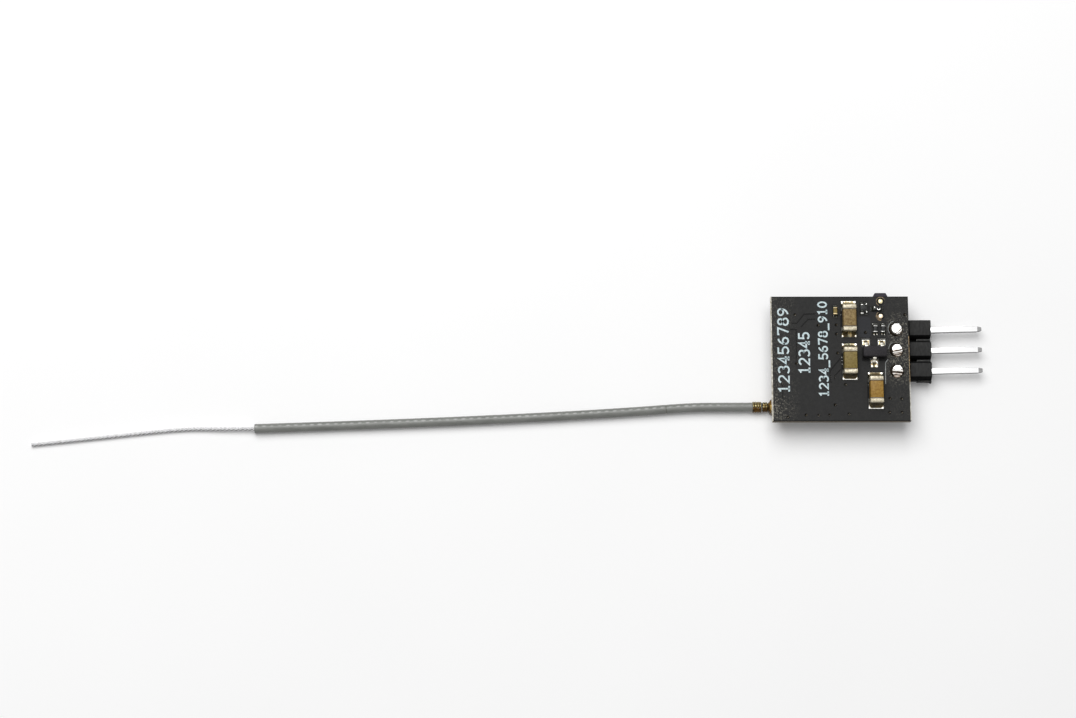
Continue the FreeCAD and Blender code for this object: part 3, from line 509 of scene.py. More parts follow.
def skin(bm, rows, closed=True):
    """Faces between rows of points. A closed row goes back to its first point."""
    count = len(rows[0])
    for lower, upper in zip(rows, rows[1:]):
        for index in range(count if closed else count - 1):
            after = (index + 1) % count
            bm.faces.new((lower[index], lower[after], upper[after], upper[index]))


def loft(bm, rings, cap_start=True, cap_end=True, numbers=(), name="flux_and_shade"):
    """Skins rings of points in millimetres, and gives the points their numbers in order."""
    layer = number_layer(bm, name) if numbers else None
    loops = [[bm.verts.new(point) for point in ring] for ring in rings]
    skin(bm, loops)
    if cap_start:
        bm.faces.new(loops[0][::-1])
    if cap_end:
        bm.faces.new(loops[-1])
    for vert, value in zip([vert for loop in loops for vert in loop], numbers):
        vert[layer] = value


def number_new(bm, first, number_at):
    """Gives the points from the first new one on a number for flux and painted shade, worked out from their
    place.
    """
    layer = number_layer(bm, "flux_and_shade")
    bm.verts.ensure_lookup_table()
    for vert in bm.verts[first:]:
        vert[layer] = number_at(vert.co)


def height_field(bm, place_at, u_steps, v_steps):
    """Grid of points. place_at(u, v) gives a point and its number for flux and painted shade, for u and v
    from 0 to 1.
    """
    layer = number_layer(bm, "flux_and_shade")
    rows = []
    for i in range(u_steps + 1):
        row = []
        for j in range(v_steps + 1):
            place, number = place_at(i / u_steps, j / v_steps)
            vert = bm.verts.new(place)
            vert[layer] = number
            row.append(vert)
        rows.append(row)
    skin(bm, rows, closed=False)
    return rows


print("mesh helpers ready")

# %% [markdown]
# The rings themselves come from a few shapes: a circle, an arc, a rectangle with round corners, and a
# profile turned round an upright axis. Bands of print and of rim follow a line instead.

# %% Helpers for outlines, bands and drops
def angles_round(sides):
    """Even angles once round."""
    return [2 * math.pi * index / sides for index in range(sides)]


def rounded_rectangle(half_width, half_height, radius, steps=4):
    """Points (across, up) round a rectangle with round corners."""
    points = []
    for quarter, (side, rise) in enumerate(((1, 1), (-1, 1), (-1, -1), (1, -1))):
        for step in range(steps + 1):
            angle = math.radians(90 * (quarter + step / steps))
            points.append((side * (half_width - radius) + radius * math.cos(angle),
                           rise * (half_height - radius) + radius * math.sin(angle)))
    return points


def arc(cx, cy, rx, ry, start, end, steps=12):
    """Points along part of an oval, between two angles in degrees."""
    angles = [math.radians(start + (end - start) * step / steps) for step in range(steps + 1)]
    return [(cx + rx * math.cos(angle), cy + ry * math.sin(angle)) for angle in angles]


def circle_outline(x, y, radius, steps=28):
    """Points round a circle."""
    return arc(x, y, radius, radius, 0, 360 - 360 / steps, steps - 1)


def turned(x, y, profile, sides=28, base=0.0):
    """Rings of a shape turned round an upright axis. Its profile lists (radius, height)."""
    return [[Vector((*point, base + z)) for point in circle_outline(x, y, radius, sides)]
            for radius, z in profile]


def band_sides(points, width, closed=False):
    """The points on both sides of a line, as (left, right), half a width away from it."""
    line = [Vector(point) for point in points]
    count = len(line)
    pairs = []
    for index, point in enumerate(line):
        before = line[index - 1] if closed or index else point
        after = line[(index + 1) % count] if closed or index < count - 1 else point
        first = (point - before).normalized() if (point - before).length else (after - point).normalized()
        second = (after - point).normalized() if (after - point).length else first
        heading = (first + second).normalized() if (first + second).length > 0.1 else second
        normal = Vector((-heading.y, heading.x))
        spread = width / 2 / max(normal.dot(Vector((-first.y, first.x))), 0.5)
        pairs.append((point + normal * spread, point - normal * spread))
    return pairs


def ribbon(bm, points, width, low, high, closed=False):
    """Flat band of a width along a line of (x, y) points, from one height to another."""
    rings = []
    for left, right in band_sides(points, width, closed):
        corners = (left, low), (right, low), (right, high), (left, high)
        rings.append([bm.verts.new((*side, z)) for side, z in corners])
    skin(bm, rings + rings[:1] if closed else rings)
    if not closed:
        bm.faces.new(rings[0][::-1])
        bm.faces.new(rings[-1])


def blob(bm, centre, reach_x, reach_y, height, turn=0.0, flux_and_shade=0.0):
    """Drop of solder: a low dome with an oval outline, sunk a little into what carries it."""
    sides, steps = 20, 6
    cos, sin = math.cos(math.radians(turn)), math.sin(math.radians(turn))
    rings = []
    for step in range(steps + 1):
        angle = math.radians(-12 + 96 * step / steps)
        ring = []
        for around in angles_round(sides):
            x = reach_x * math.cos(around) * math.cos(angle)
            y = reach_y * math.sin(around) * math.cos(angle)
            ring.append(centre + Vector((x * cos - y * sin, x * sin + y * cos, height * math.sin(angle))))
        rings.append(ring)
    loft(bm, rings, numbers=[flux_and_shade] * (sides * (steps + 1)))


def lumps(node):
    """Corners of each separate lump in a solid's mesh, in millimetres."""
    bm = bmesh.new()
    bm.from_mesh(nodes[node].data)
    bmesh.ops.remove_doubles(bm, verts=bm.verts, dist=0.0000001)
    left = set(bm.verts)
    boxes = []
    while left:
        group = [left.pop()]
        for vert in group:
            for edge in vert.link_edges:
                other = edge.other_vert(vert)
                if other in left:
                    left.remove(other)
                    group.append(other)
        boxes.append([Vector([pick(vert.co[axis] for vert in group) for axis in range(3)]) / MM
                      for pick in (min, max)])
    bm.free()
    return sorted(boxes, key=lambda box: (round(box[0].x, 3), round(box[0].y, 3)))


pads = lumps("copper_pads_top")
print("pads on the upper face:", len(pads))

# %% [markdown]
# ## The antenna cable
# The cable is a fixed length of a stiff, springy material, so its line has to be smooth. A NURBS
# spline of order 3 rounds every corner of a route by itself. The route's points are those of the solid
# tube, so the jacket lies where that tube lies: out of the plug, down to the table, and along it in a
# long gentle bend. We read the spline's points back and build the jacket on them.

# %% The spline and its points
CABLE_ROUTE = [
    (-13.9, -5.835, 0.72), (-17.9, -5.835, 0.72), (-22.7, -5.85, 0.65), (-29.0, -6.34, 0.565),
    (-41.0, -7.05, 0.565), (-58.5, -7.82, 0.565), (-75.3, -8.35, 0.565),
]
ELEMENT_ROUTE = [
    (-75.3, -8.35, 0.565), (-79.0, -8.40, 0.42), (-84.0, -8.31, 0.25), (-93.3, -9.32, 0.25),
    (-102.3, -10.25, 0.25),
]


def spline_points(name, route):
    """Points along the smooth line through a route, in millimetres."""
    curve = bpy.data.curves.new(name, "CURVE")
    curve.dimensions = "3D"
    curve.resolution_u = 40
    spline = curve.splines.new("NURBS")
    spline.points.add(len(route) - 1)
    for point, place in zip(spline.points, route):
        point.co = (*[value * MM for value in place], 1.0)
    spline.order_u = 3
    spline.use_endpoint_u = True
    holder = put_in_scene(name, curve)
    bpy.context.view_layer.update()
    line = bpy.data.meshes.new_from_object(holder)
    points = [vertex.co / MM for vertex in line.vertices]
    bpy.data.objects.remove(holder)
    print(name, round(sum((b - a).length for a, b in zip(points, points[1:])), 2), "mm")
    return points


def even_steps(points, step):
    """Resamples a line at even steps: a list of (distance, place, heading)."""
    samples = []
    travelled = 0.0
    wanted = 0.0
    for before, after in zip(points, points[1:]):
        length = (after - before).length
        while length and wanted <= travelled + length:
            place = before.lerp(after, (wanted - travelled) / length)
            samples.append((wanted, place, (after - before) / length))
            wanted += step
        travelled += length
    samples.append((travelled, points[-1], (points[-1] - points[-2]).normalized()))
    return samples


def cross_axes(heading):
    """Level and upward direction square to a heading."""
    across = heading.cross(Vector((0, 0, 1))).normalized()
    return across, across.cross(heading).normalized()


def ring_round(place, heading, radius_at, sides):
    """Ring of points square to a heading. radius_at gives the radius at each angle."""
    across, up = cross_axes(heading)
    ring = []
    for angle in angles_round(sides):
        radius = radius_at(angle)
        ring.append(place + across * (radius * math.cos(angle)) + up * (radius * math.sin(angle)))
    return ring


cable_line = spline_points("cable_line", CABLE_ROUTE)
element_line = spline_points("element_line", ELEMENT_ROUTE)

# %% [markdown]
# Under the thin grey jacket lies a woven shield. Its picks, the places where the bunches of wire cross
# over, lift the jacket a little and show through it paler. The row of soft dashes along the highlight is
# a painted highlight: the picks in the row that faces the lamp are painted far paler than the rest. One
# wave along the cable times one wave round it gives that pattern, and each point of the mesh keeps it as
# a number for the colour. The jacket also has one small nick, painted dark as painted shade, and its cut
# end is rounded over.

# %% Jacket over the braid
CABLE_RADIUS = 0.565
PICK_PITCH = 0.965
PICK_ROWS = 8
PICK_PHASE = math.radians(115)
HIGHLIGHT_ROW = PICK_PHASE - math.radians(45)
HIGHLIGHT_ROW_WIDTH = 0.4
PICK_RELIEF = 0.018
NICK_AT, NICK_WIDTH, NICK_DEPTH = 11.6, 0.08, 0.03
RING_SIDES = 40
JACKET_STEP = 0.1
CUT_END = (0.97, 0.02), (0.9, 0.05), (0.72, 0.05), (0.66, 0.0), (0.64, -0.12)


def pick_at(distance, angle):
    """1 over the middle of a pick of the braid, 0 between the picks."""
    along = 0.5 - 0.5 * math.cos(2 * math.pi * distance / PICK_PITCH)
    around = 0.5 + 0.5 * math.cos(PICK_ROWS * (angle - PICK_PHASE))
    return along * around


def nick_at(distance):
    """1 in the nick, 0 away from it."""
    return math.exp(-((distance - NICK_AT) / NICK_WIDTH) ** 2)


def jacket_radius(distance, angle):
    """Radius of the jacket at a distance along the cable."""
    lump = 0.006 * noise.noise(Vector((distance * 0.5, 3.0, 0.0)))
    relief = CABLE_RADIUS - PICK_RELIEF * 0.6 + PICK_RELIEF * pick_at(distance, angle)
    return relief - NICK_DEPTH * nick_at(distance) + lump


def pick_number(distance, angle):
    """How pale a pick is, with a painted highlight: palest in the row that faces up, and hardly at all near
    the plug.
    """
    # Painted highlight: the row of picks that faces the lamp is painted palest.
    pick_and_highlight_paleness = 0.15 + 1.05 * math.exp(-((angle - HIGHLIGHT_ROW) / HIGHLIGHT_ROW_WIDTH) ** 2)
    pick_and_highlight_paleness *= smooth_step(distance, -4, 9) * (0.85 + 0.6 * noise.noise(Vector((distance * 0.4, 0, 0))))
    return pick_at(distance, angle) * pick_and_highlight_paleness * (1 - nick_at(distance)) - nick_at(distance)


rings = []
numbers = []
for distance, place, heading in even_steps(cable_line, JACKET_STEP):
    rings.append(ring_round(place, heading, lambda angle: jacket_radius(distance, angle), RING_SIDES))
    numbers += [pick_number(distance, angle) for angle in angles_round(RING_SIDES)]
last_heading = (cable_line[-1] - cable_line[-2]).normalized()
for share, out in CUT_END:
    rings.append(ring_round(cable_line[-1] + last_heading * (out - 0.05), last_heading,
                            lambda angle: CABLE_RADIUS * share, RING_SIDES))
bm = bmesh.new()
loft(bm, rings, numbers=numbers, name="pick")
cable_piece = keep("antenna_cable_jacket", bm, jacket, stands_for=["antenna_cable"])
print("jacket", len(cable_piece.data.polygons), "faces")

# %% [markdown]
# The bare element is seven silvered strands: one straight core and six laid round it, which is the
# only way that equal wires pack. The lay is about seven diameters long, and it shows in the photograph
# as small dark dashes along the lower edge. Those dashes are painted shade: each point deep between two
# strands carries a dark number, strongest on the front side.

# %% Seven strands
STRAND_RADIUS = 0.083
LAY_LENGTH = 3.4
STRAND_STEP = 0.1
STRAND_SIDES = 12
SHADE_GROOVE_TOP, SHADE_GROOVE_FLOOR = 0.243, 0.218
bm = bmesh.new()
for strand in range(7):
    rings = []
    numbers = []
    offset = 0.0 if strand == 6 else 2 * STRAND_RADIUS
    for distance, place, heading in even_steps(element_line, STRAND_STEP):
        across, up = cross_axes(heading)
        angle = 2 * math.pi * (distance / LAY_LENGTH + strand / 6)
        centre = place + (across * math.cos(angle) + up * math.sin(angle)) * offset
        rings.append(ring_round(centre, heading, lambda turn: STRAND_RADIUS, STRAND_SIDES))
        for point in rings[-1]:
            radial = (point - place).length
            turned_front = -(point - place).dot(across) / radial
            # Painted shade: points deep between strands get a dark number, strongest on the front side.
            groove = smooth_step(radial, SHADE_GROOVE_TOP, SHADE_GROOVE_FLOOR)
            numbers.append(groove * (0.06 + 0.94 * smooth_step(turned_front, 0.3, 0.7)))
    loft(bm, rings, numbers=numbers, name="dull_and_shade")
element_piece = keep("antenna_element_strands", bm, silver, stands_for=["antenna_element"])
print("strands", len(element_piece.data.polygons), "faces")

# %% [markdown]
# ## The board's upper face
# Seen closely, a board isn't flat. A sheet of copper covers most of it under the mask, and stops short
# of every pad, hole and track, so that each of those sits in a shallow moat. The moats and track gaps
# show the board below in a darker copy of the mask, as painted shade. That sheet could be cut with
# Booleans, which are slow and leave ragged meshes. Drawing it flat is better: a fill whose triangles
# keep to given edges, so a triangulation that takes the outlines as edges gives a clean sheet once the
# triangles inside the holes are left out. A narrow chamfer then softens every rim.

# %% A flat sheet with holes
def grown(points, distance):
    """Closed outline pushed outwards by a distance, whichever way round its points run."""
    line = [Vector(point) for point in points]
    area = sum(a.x * b.y - b.x * a.y for a, b in zip(line, line[1:] + line[:1]))
    sign = 1 if area > 0 else -1
    result = []
    for index, point in enumerate(line):
        first = (point - line[index - 1]).normalized()
        second = (line[(index + 1) % len(line)] - point).normalized()
        heading = (first + second).normalized()
        normal = Vector((heading.y, -heading.x)) * sign
        share = max(normal.dot(Vector((first.y, -first.x)) * sign), 0.4)
        result.append(point + normal * distance / share)
    return result


def inside(point, outline):
    """True where a point lies within a closed outline."""
    odd = False
    for a, b in zip(outline, outline[1:] + outline[:1]):
        crosses = (a.y > point.y) != (b.y > point.y)
        if crosses and point.x < a.x + (point.y - a.y) * (b.x - a.x) / (b.y - a.y):
            odd = not odd
    return odd


def filled_sheet(outer, holes, low, high, rim):
    """Flat sheet with holes, between two heights. Its upper rims are chamfered by a small width."""
    top_loops = [grown(outer, -rim)] + [grown(hole, rim) for hole in holes]
    flat = [point for loop in top_loops for point in loop]
    edges = []
    for loop in top_loops:
        first = edges[-1][0] + 1 if edges else 0
        edges += [(first + index, first + (index + 1) % len(loop)) for index in range(len(loop))]
    points, _, triangles, *_ = delaunay_2d_cdt(flat, edges, [], 0, 0.00001)
    bm = bmesh.new()
    verts = [bm.verts.new((point.x, point.y, high)) for point in points]
    for triangle in triangles:
        middle = sum((points[index] for index in triangle), Vector((0, 0))) / 3
        if inside(middle, top_loops[0]) and not any(inside(middle, hole) for hole in top_loops[1:]):
            bm.faces.new([verts[index] for index in triangle])
    for loop, edge_loop in zip([outer] + holes, top_loops):
        levels = (edge_loop, high), (loop, high - rim * 0.8), (loop, low)
        skin(bm, [[bm.verts.new((point[0], point[1], z)) for point in ring] for ring, z in levels])
    bmesh.ops.remove_doubles(bm, verts=bm.verts, dist=0.00002)
    return bm


print("sheet helpers ready")

# %% [markdown]
# Now the openings: the tracks' edges, the vias, the header's joints, the test points, and every pad.
# The wide pads of the bulk capacitors share one opening for two, so that the darker board shows under
# each body as painted shade. On both sides of the regulator's front lead, two notches bare it in front
# of the package as a painted shadow. Legs and joints take their places from the solids, and the rest was
# measured.

# %% Sheet of copper under the mask, with its moats
SKIN_RISE = 0.034
SKIN_INSET = 0.11
LEFT_INSET = 0.12
GROOVE_WIDTH = 0.13
MOAT = 0.06
GROOVES = [
    [(-5.84, 4.31), (-5.23, 4.31), (-4.30, 5.44), (-2.91, 5.47)],
    [(-4.70, 3.88), (-3.83, 4.80), (-2.93, 4.84)],
    [(-6.03, 3.58), (-5.31, 3.58), (-5.29, 1.67), (-5.33, -0.22)],
    [(-0.03, 0.01), (-1.32, -1.51), (-1.29, -2.85), (-1.10, -2.90)],
    [(-0.03, -1.34), (-0.42, -1.76), (-0.73, -2.06), (-0.80, -2.61)],
    [(-7.6, -2.6), (-7.05, -3.3), (-7.05, -4.9)],
]
VIAS = [
    (-11.07, -7.485), (-8.87, -7.235), (-7.37, -7.285), (-6.07, -7.235), (-5.37, -5.985), (-9.92, -0.935),
    (-9.97, 5.015), (-7.22, 3.715), (-3.72, -7.135), (1.23, -5.235), (2.63, -5.285), (2.63, -6.935),
    (1.13, -6.935), (-4.07, -3.535), (-4.92, 0.315), (-5.02, 2.665), (-5.02, 3.765), (-1.52, 2.815),
    (3.28, 5.015),
]
VIA_RADIUS = 0.15
VIA_MOAT = 0.20
JOINT_MOAT = 0.85
JOINT_SHIFT = -0.22
TEST_MOAT = 0.47
WIDE_PAD = 1.5
SHADOW_NOTCH_FROM_LEAD, SHADOW_NOTCH_DEPTH = 0.62, 0.36
joints_low, joints_high = span("header_solder_joints")
leg_x = (joints_low.x + joints_high.x) / 2
pin_ys = {}
for name in ("signal", "power", "ground"):
    low, high = span("header_pin_" + name)
    pin_ys[name] = (low.y + high.y) / 2
leg_ys = sorted(pin_ys.values(), reverse=True)
joint_ys = [y + JOINT_SHIFT for y in leg_ys]
test_points = sorted([(low + high) / 2 for low, high in lumps("test_points")], key=lambda point: -point.y)
outlines = []


def add_opening(low, high, margin=MOAT):
    """Rectangular opening in the sheet, a little larger than what stands in it."""
    x0, x1, y0, y1 = low.x - margin, high.x + margin, low.y - margin, high.y + margin
    outlines.append([(x0, y0), (x1, y0), (x1, y1), (x0, y1)])


bulk_pads = [box for box in pads if (box[1] - box[0]).x > WIDE_PAD]
for pad in pads:
    if pad not in bulk_pads:
        add_opening(*pad)
# Painted shade: one opening spans both pads and the ground under the body, so the darker board shows there.
for first, second in zip(bulk_pads[::2], bulk_pads[1::2]):
    add_opening(first[0], second[1])
package_low, package_high = span("regulator_body")
centre_lead = (package_low.x + package_high.x) / 2
# Painted shadow: two notches in front of the package bare the darker board.
for x0, x1 in ((package_low.x, centre_lead - SHADOW_NOTCH_FROM_LEAD),
               (centre_lead + SHADOW_NOTCH_FROM_LEAD, package_high.x + 0.1)):
    add_opening(Vector((x0, package_low.y - SHADOW_NOTCH_DEPTH)), Vector((x1, package_low.y + 0.1)), 0.0)
for groove in GROOVES:
    sides = band_sides([(board_middle.x + x, board_middle.y + y) for x, y in groove], GROOVE_WIDTH)
    outlines.append([left for left, right in sides] + [right for left, right in sides[::-1]])
outlines += [circle_outline(x, y, VIA_MOAT, 16) for x, y in VIAS]
outlines += [circle_outline(leg_x, y, JOINT_MOAT, 40) for y in joint_ys]
outlines += [circle_outline(point.x, point.y, TEST_MOAT) for point in test_points]
half_x = (board_high.x - board_low.x) / 2 - (LEFT_INSET + SKIN_INSET) / 2
half_y = (board_high.y - board_low.y) / 2 - SKIN_INSET
outer = [(board_middle.x + (LEFT_INSET - SKIN_INSET) / 2 + across, board_middle.y + up)
         for across, up in rounded_rectangle(half_x, half_y, 0.12)]
skin_top = board_top + SKIN_RISE
bm = filled_sheet(outer, outlines, board_top - 0.005, skin_top, 0.015)
keep("board_copper_sheet", bm, mask_black, smooth=False)
print("sheet has", len(outlines), "openings, top at", round(skin_top, 3), "mm")

# %% [markdown]
# The left edge was snapped, not milled. The mask chipped back from it, and a ragged pale ledge of glass
# and resin stands a little proud of the edge. Along the right edge the router left only a thin pale
# line, which is dim beside the header. The ledge is a strip whose outer edge follows a noise.

# %% Torn ledge on the left, routed line on the right
LEDGE_WIDTH = 0.13
LINE_WIDTH = 0.08
ledge_pale = finish("torn_laminate", (0.34, 0.31, 0.24), (0.80, 0.78, 0.72), 0.7, 0.0, 5.0, 0.02,
                    stretch=(1, 0.6, 1))


def ledge_at(u, v):
    """Point on the ledge: u runs along the edge, v from the mask over the edge and down."""
    y = board_low.y + 0.03 + u * (board_high.y - board_low.y - 0.06)
    ragged = noise.noise(Vector((y * 3.1, 0.0, 5.0))) + 0.6 * noise.noise(Vector((y * 8.3, 2.0, 5.0)))
    inner = board_low.x + LEDGE_WIDTH - 0.05 + 0.03 * ragged
    outer_x = board_low.x - 0.07 - 0.05 * ragged
    if v < 0.5:
        share = v / 0.5
        return Vector((inner + (outer_x - inner) * share, y, board_top + 0.03 - 0.05 * share * share)), 0.0
    share = (v - 0.5) / 0.5
    return Vector((outer_x + 0.10 * share * share, y, board_top - 0.02 - 0.55 * share)), 0.0


bm = bmesh.new()
height_field(bm, ledge_at, 220, 10)
keep("board_torn_ledge", bm, ledge_pale)
line_x = board_high.x - 0.045
for name, material, start_y, end_y in (("board_routed_line", ledge_pale, board_low.y + 0.1, -3.2),
                                       ("board_routed_line_dim", copper_tan, -3.2, 2.4)):
    bm = bmesh.new()
    ribbon(bm, [(line_x, start_y), (line_x, end_y)], LINE_WIDTH, board_top - 0.01, skin_top - 0.01)
    keep(name, bm, material, smooth=False)
print("ledge", LEDGE_WIDTH, "mm wide")

# %% [markdown]
# A via is a drilled hole with a copper barrel. The mask covers its rim and leaves a small dark pit. We
# line each hole with a short tube whose lip rises a little above the moat, in the darker copy of the
# mask, as painted shade in the pit.

# %% Via barrels
VIA_PROFILE = ((VIA_RADIUS + 0.05, board_top + 0.002), (VIA_RADIUS + 0.03, board_top + 0.02),
               (VIA_RADIUS - 0.01, board_top + 0.018), (VIA_RADIUS - 0.03, board_top - 0.03),
               (VIA_RADIUS - 0.035, board_low.z))
bm = bmesh.new()
for x, y in VIAS:
    loft(bm, turned(x, y, VIA_PROFILE, 16), False, False)
keep("via_barrels", bm, mask_low_shade)
print("vias", len(VIAS))

# %% [markdown]
# ## Print on the board
# White ink marks the board in three columns of plain numbers that read from the bottom up, drawn in the
# single strokes of a layout program. Each figure is a stroke of even width, so a ribbon of ink 0.01 mm
# thick along a line of points is closer to the real thing than a font's outline. Round the regulator
# and the joints, the same ink draws a few thin outlines.

# %% Figures as strokes
FIGURES = {
    "0": [(arc(0.3, 0.5, 0.26, 0.46, 0, 330, 11), True)],
    "1": [([(0.10, 0.80), (0.31, 0.96), (0.31, 0.0)], False), ([(0.08, 0.04), (0.54, 0.04)], False)],
    "2": [(arc(0.3, 0.70, 0.26, 0.26, 165, -35, 9) + [(0.04, 0.04), (0.58, 0.04)], False)],
    "3": [(arc(0.27, 0.73, 0.25, 0.23, 150, -80, 9), False),
          (arc(0.27, 0.27, 0.29, 0.25, 80, -150, 9), False)],
    "4": [([(0.42, 0.0), (0.42, 0.96), (0.03, 0.30), (0.60, 0.30)], False),
          ([(0.26, 0.04), (0.58, 0.04)], False)],
    "5": [([(0.54, 0.96), (0.09, 0.96), (0.07, 0.54)] + arc(0.28, 0.31, 0.28, 0.27, 115, -150, 10), False)],
    "6": [(arc(0.3, 0.29, 0.25, 0.25, 0, 330, 11), True), (arc(0.50, 0.30, 0.45, 0.64, 178, 95, 7), False)],
    "7": [([(0.05, 0.84), (0.05, 0.96), (0.56, 0.96), (0.24, 0.0)], False)],
    "8": [(arc(0.3, 0.73, 0.22, 0.22, 0, 330, 11), True), (arc(0.3, 0.27, 0.27, 0.25, 0, 330, 11), True)],
    "9": [(arc(0.3, 0.69, 0.25, 0.25, 0, 330, 11), True), (arc(0.10, 0.68, 0.45, 0.64, -2, -85, 7), False)],
    "_": [([(-0.06, -0.16), (0.66, -0.16)], False)],
}
COLUMNS = [
    ("123456789", -10.80, 1.32, -4.60, 1.174, 0.20),
    ("12345", -8.31, 1.30, -2.28, 1.054, 0.21),
    ("1234_5678_910", -6.12, 1.10, -5.06, 0.908, 0.19),
]
INK = 0.012
INK_BASE = skin_top - 0.005
FIGURE_WIDTH = 1.3
bm = bmesh.new()
for text, foot_x, height, start_y, pitch, stroke in COLUMNS:
    for index, figure in enumerate(text):
        start = start_y + pitch * (index + 0.08)
        for points, closed in FIGURES[figure]:
            placed = [(foot_x - v * height, start + u * pitch * FIGURE_WIDTH) for u, v in points]
            ribbon(bm, placed, stroke, INK_BASE, skin_top + INK, closed)
keep("board_numbers", bm, print_white, smooth=False)
bm = bmesh.new()
for line, width in (([(1.13, -0.42), (0.81, -0.90), (0.75, -3.47)], 0.10),
                    (arc(leg_x, joint_ys[0] + 0.1, 0.95, 0.95, 105, 215, 16), 0.07),
                    (arc(leg_x, joint_ys[1] + 0.1, 0.95, 0.95, 120, 175, 10), 0.06)):
    ribbon(bm, line, width, INK_BASE, skin_top + INK)
keep("board_outlines", bm, print_grey, smooth=False)
print("columns of figures", len(COLUMNS))

# %% [markdown]
# Left of the rear chips the mask lies smooth and slightly blue over a solid area of copper. A thin
# sheet of its own, with an opening for the via in it, shows that patch.

# %% Smooth patch of mask
PATCH = [(-2.45, 4.75), (-2.40, 2.35), (-1.15, 2.10), (-0.86, 2.35), (-0.86, 4.55), (-1.25, 4.75)]
PATCH_VIA = VIAS[17]
PATCH_RISE = 0.008
via_opening = circle_outline(*PATCH_VIA, VIA_MOAT + 0.02, 16)
bm = filled_sheet(PATCH, [via_opening], INK_BASE, skin_top + PATCH_RISE, PATCH_RISE / 2)
keep("board_smooth_patch", bm, mask_blue, smooth=False)
print("patch with", len(PATCH), "corners")

# %% [markdown]
# ## Chips
# A ceramic chip is a fired block whose two ends were dipped in metal paste and plated. So the body's
# edges are slightly round, the end caps stand a little proud of it, and the edge of each cap wavers
# where the paste stopped. Both shapes are lofts along the chip.

# %% Lofted chip pieces
def lengthwise(axis, across, along, up):
    """Across, along and up of a chip that lies along an axis ("x" or "y"), as x, y and z."""
    return Vector((across, along, up)) if axis == "y" else Vector((along, across, up))


def chip_body(bm, low, high, radius, axis):
    """Round-edged block between two corners, lofted along an axis."""
    middle = (low + high) / 2
    wide, along, tall = lengthwise(axis, *(high - low) / 2)
    rings = []
    for side, shrink, back in ((-1, 1.0, 0.0), (-1, 0.3, 0.25), (-1, 0.0, 1.0),
                               (1, 0.0, 1.0), (1, 0.3, 0.25), (1, 1.0, 0.0)):
        reach = side * (along - radius * back)
        outline = rounded_rectangle(wide - radius * shrink, tall - radius * shrink, radius * 0.9)
        rings.append([middle + lengthwise(axis, across, reach, up) for across, up in outline])
    loft(bm, rings)


def end_cap(bm, low, high, depth, radius, axis, side, waver):
    """Plated cap over one end of a chip. Its inner edge wavers by that much."""
    middle = (low + high) / 2
    wide, along, tall = lengthwise(axis, *(high - low) / 2)
    inner = along - depth
    plan = ((inner, 0.05, True), (inner + 0.01, 0.0, True), (inner + depth * 0.5, -0.004, False),
            (along - radius, 0.0, False), (along - radius * 0.3, 0.3 * radius, False),
            (along, radius, False))
    rings = []
    for reach, shrink, free in plan:
        ring = []
        for index, (across, up) in enumerate(rounded_rectangle(wide - shrink, tall - shrink, radius)):
            seed = Vector((index * 0.9, middle.x * 3, middle.y * 3 + side))
            drift = waver * noise.noise(seed) if free else 0.0
            ring.append(middle + lengthwise(axis, across, side * (reach + drift), up))
        rings.append(ring if side > 0 else ring[::-1])
    loft(bm, rings)


print("chip shapes ready")

# %% [markdown]
# The three bulk capacitors are the largest chips. Their ceramics come from three batches, one brown,
# one olive and one amber. A thin dark line is painted where each cap meets the body, as painted shade at
# the cap's step, and a slim block that just shows beside the cap draws it.

# %% Bulk capacitors
BULK_RADIUS = 0.09
BULK_CAP = 0.52
CAP_WAVER = 0.07
SHADE_LINE_INSET, SHADE_LINE_HALF = 0.018, 0.09
BULK_CERAMICS = {1: ceramic_brown, 2: ceramic_olive, 3: ceramic_amber}
for number, ceramic in BULK_CERAMICS.items():
    name = "bulk_capacitor_%d_" % number
    low, high = span(name + "terminals")
    proud = Vector((0.03, 0.02, 0.03))
    bm = bmesh.new()
    chip_body(bm, low + proud, high - proud, BULK_RADIUS, "y")
    keep(name + "ceramic", bm, ceramic, stands_for=[name + "body"])
    bm = bmesh.new()
    for side in (-1, 1):
        end_cap(bm, low, high, BULK_CAP, BULK_RADIUS, "y", side, CAP_WAVER)
    keep(name + "caps", bm, tin_plate, stands_for=[name + "terminals"])
    # Painted shade: a slim dark block at each cap's inner edge.
    bm = bmesh.new()
    for edge in (low.y + BULK_CAP, high.y - BULK_CAP):
        chip_body(bm, Vector((low.x + SHADE_LINE_INSET, edge - SHADE_LINE_HALF, low.z + SHADE_LINE_INSET)),
                  Vector((high.x - SHADE_LINE_INSET, edge + SHADE_LINE_HALF, high.z - SHADE_LINE_INSET)), 0.04, "y")
    keep(name + "cap_edge_shade_lines", bm, cap_edge_shade)
print("bulk capacitors", sorted(BULK_CERAMICS))

# %% [markdown]
# ## Solder
# Solder climbs a chip's end as a hollow slope, and thins out to a rounded rim at the edge of the copper
# pad. In the photograph the corners are always bright, the hollow is stained at the rear ends and dark
# at the front ends, and the rim between the corners is bright on some and stained on others. The dark
# front hollows are painted shade and painted dark reflection, put on as crust. A grid over the pad holds
# all that: each point gets its height from the slope and the rim, and its number for flux and painted
# shade from how far it lies inside them. POOL_LOOK lists what differs from end to end: the crust and
# shade in the hollow, the rim's width, how thin the crust is in the middle, and the crust and shade on
# the rim.

# %% A pool of solder at one end of a chip
POOL_STEPS = 20, 28


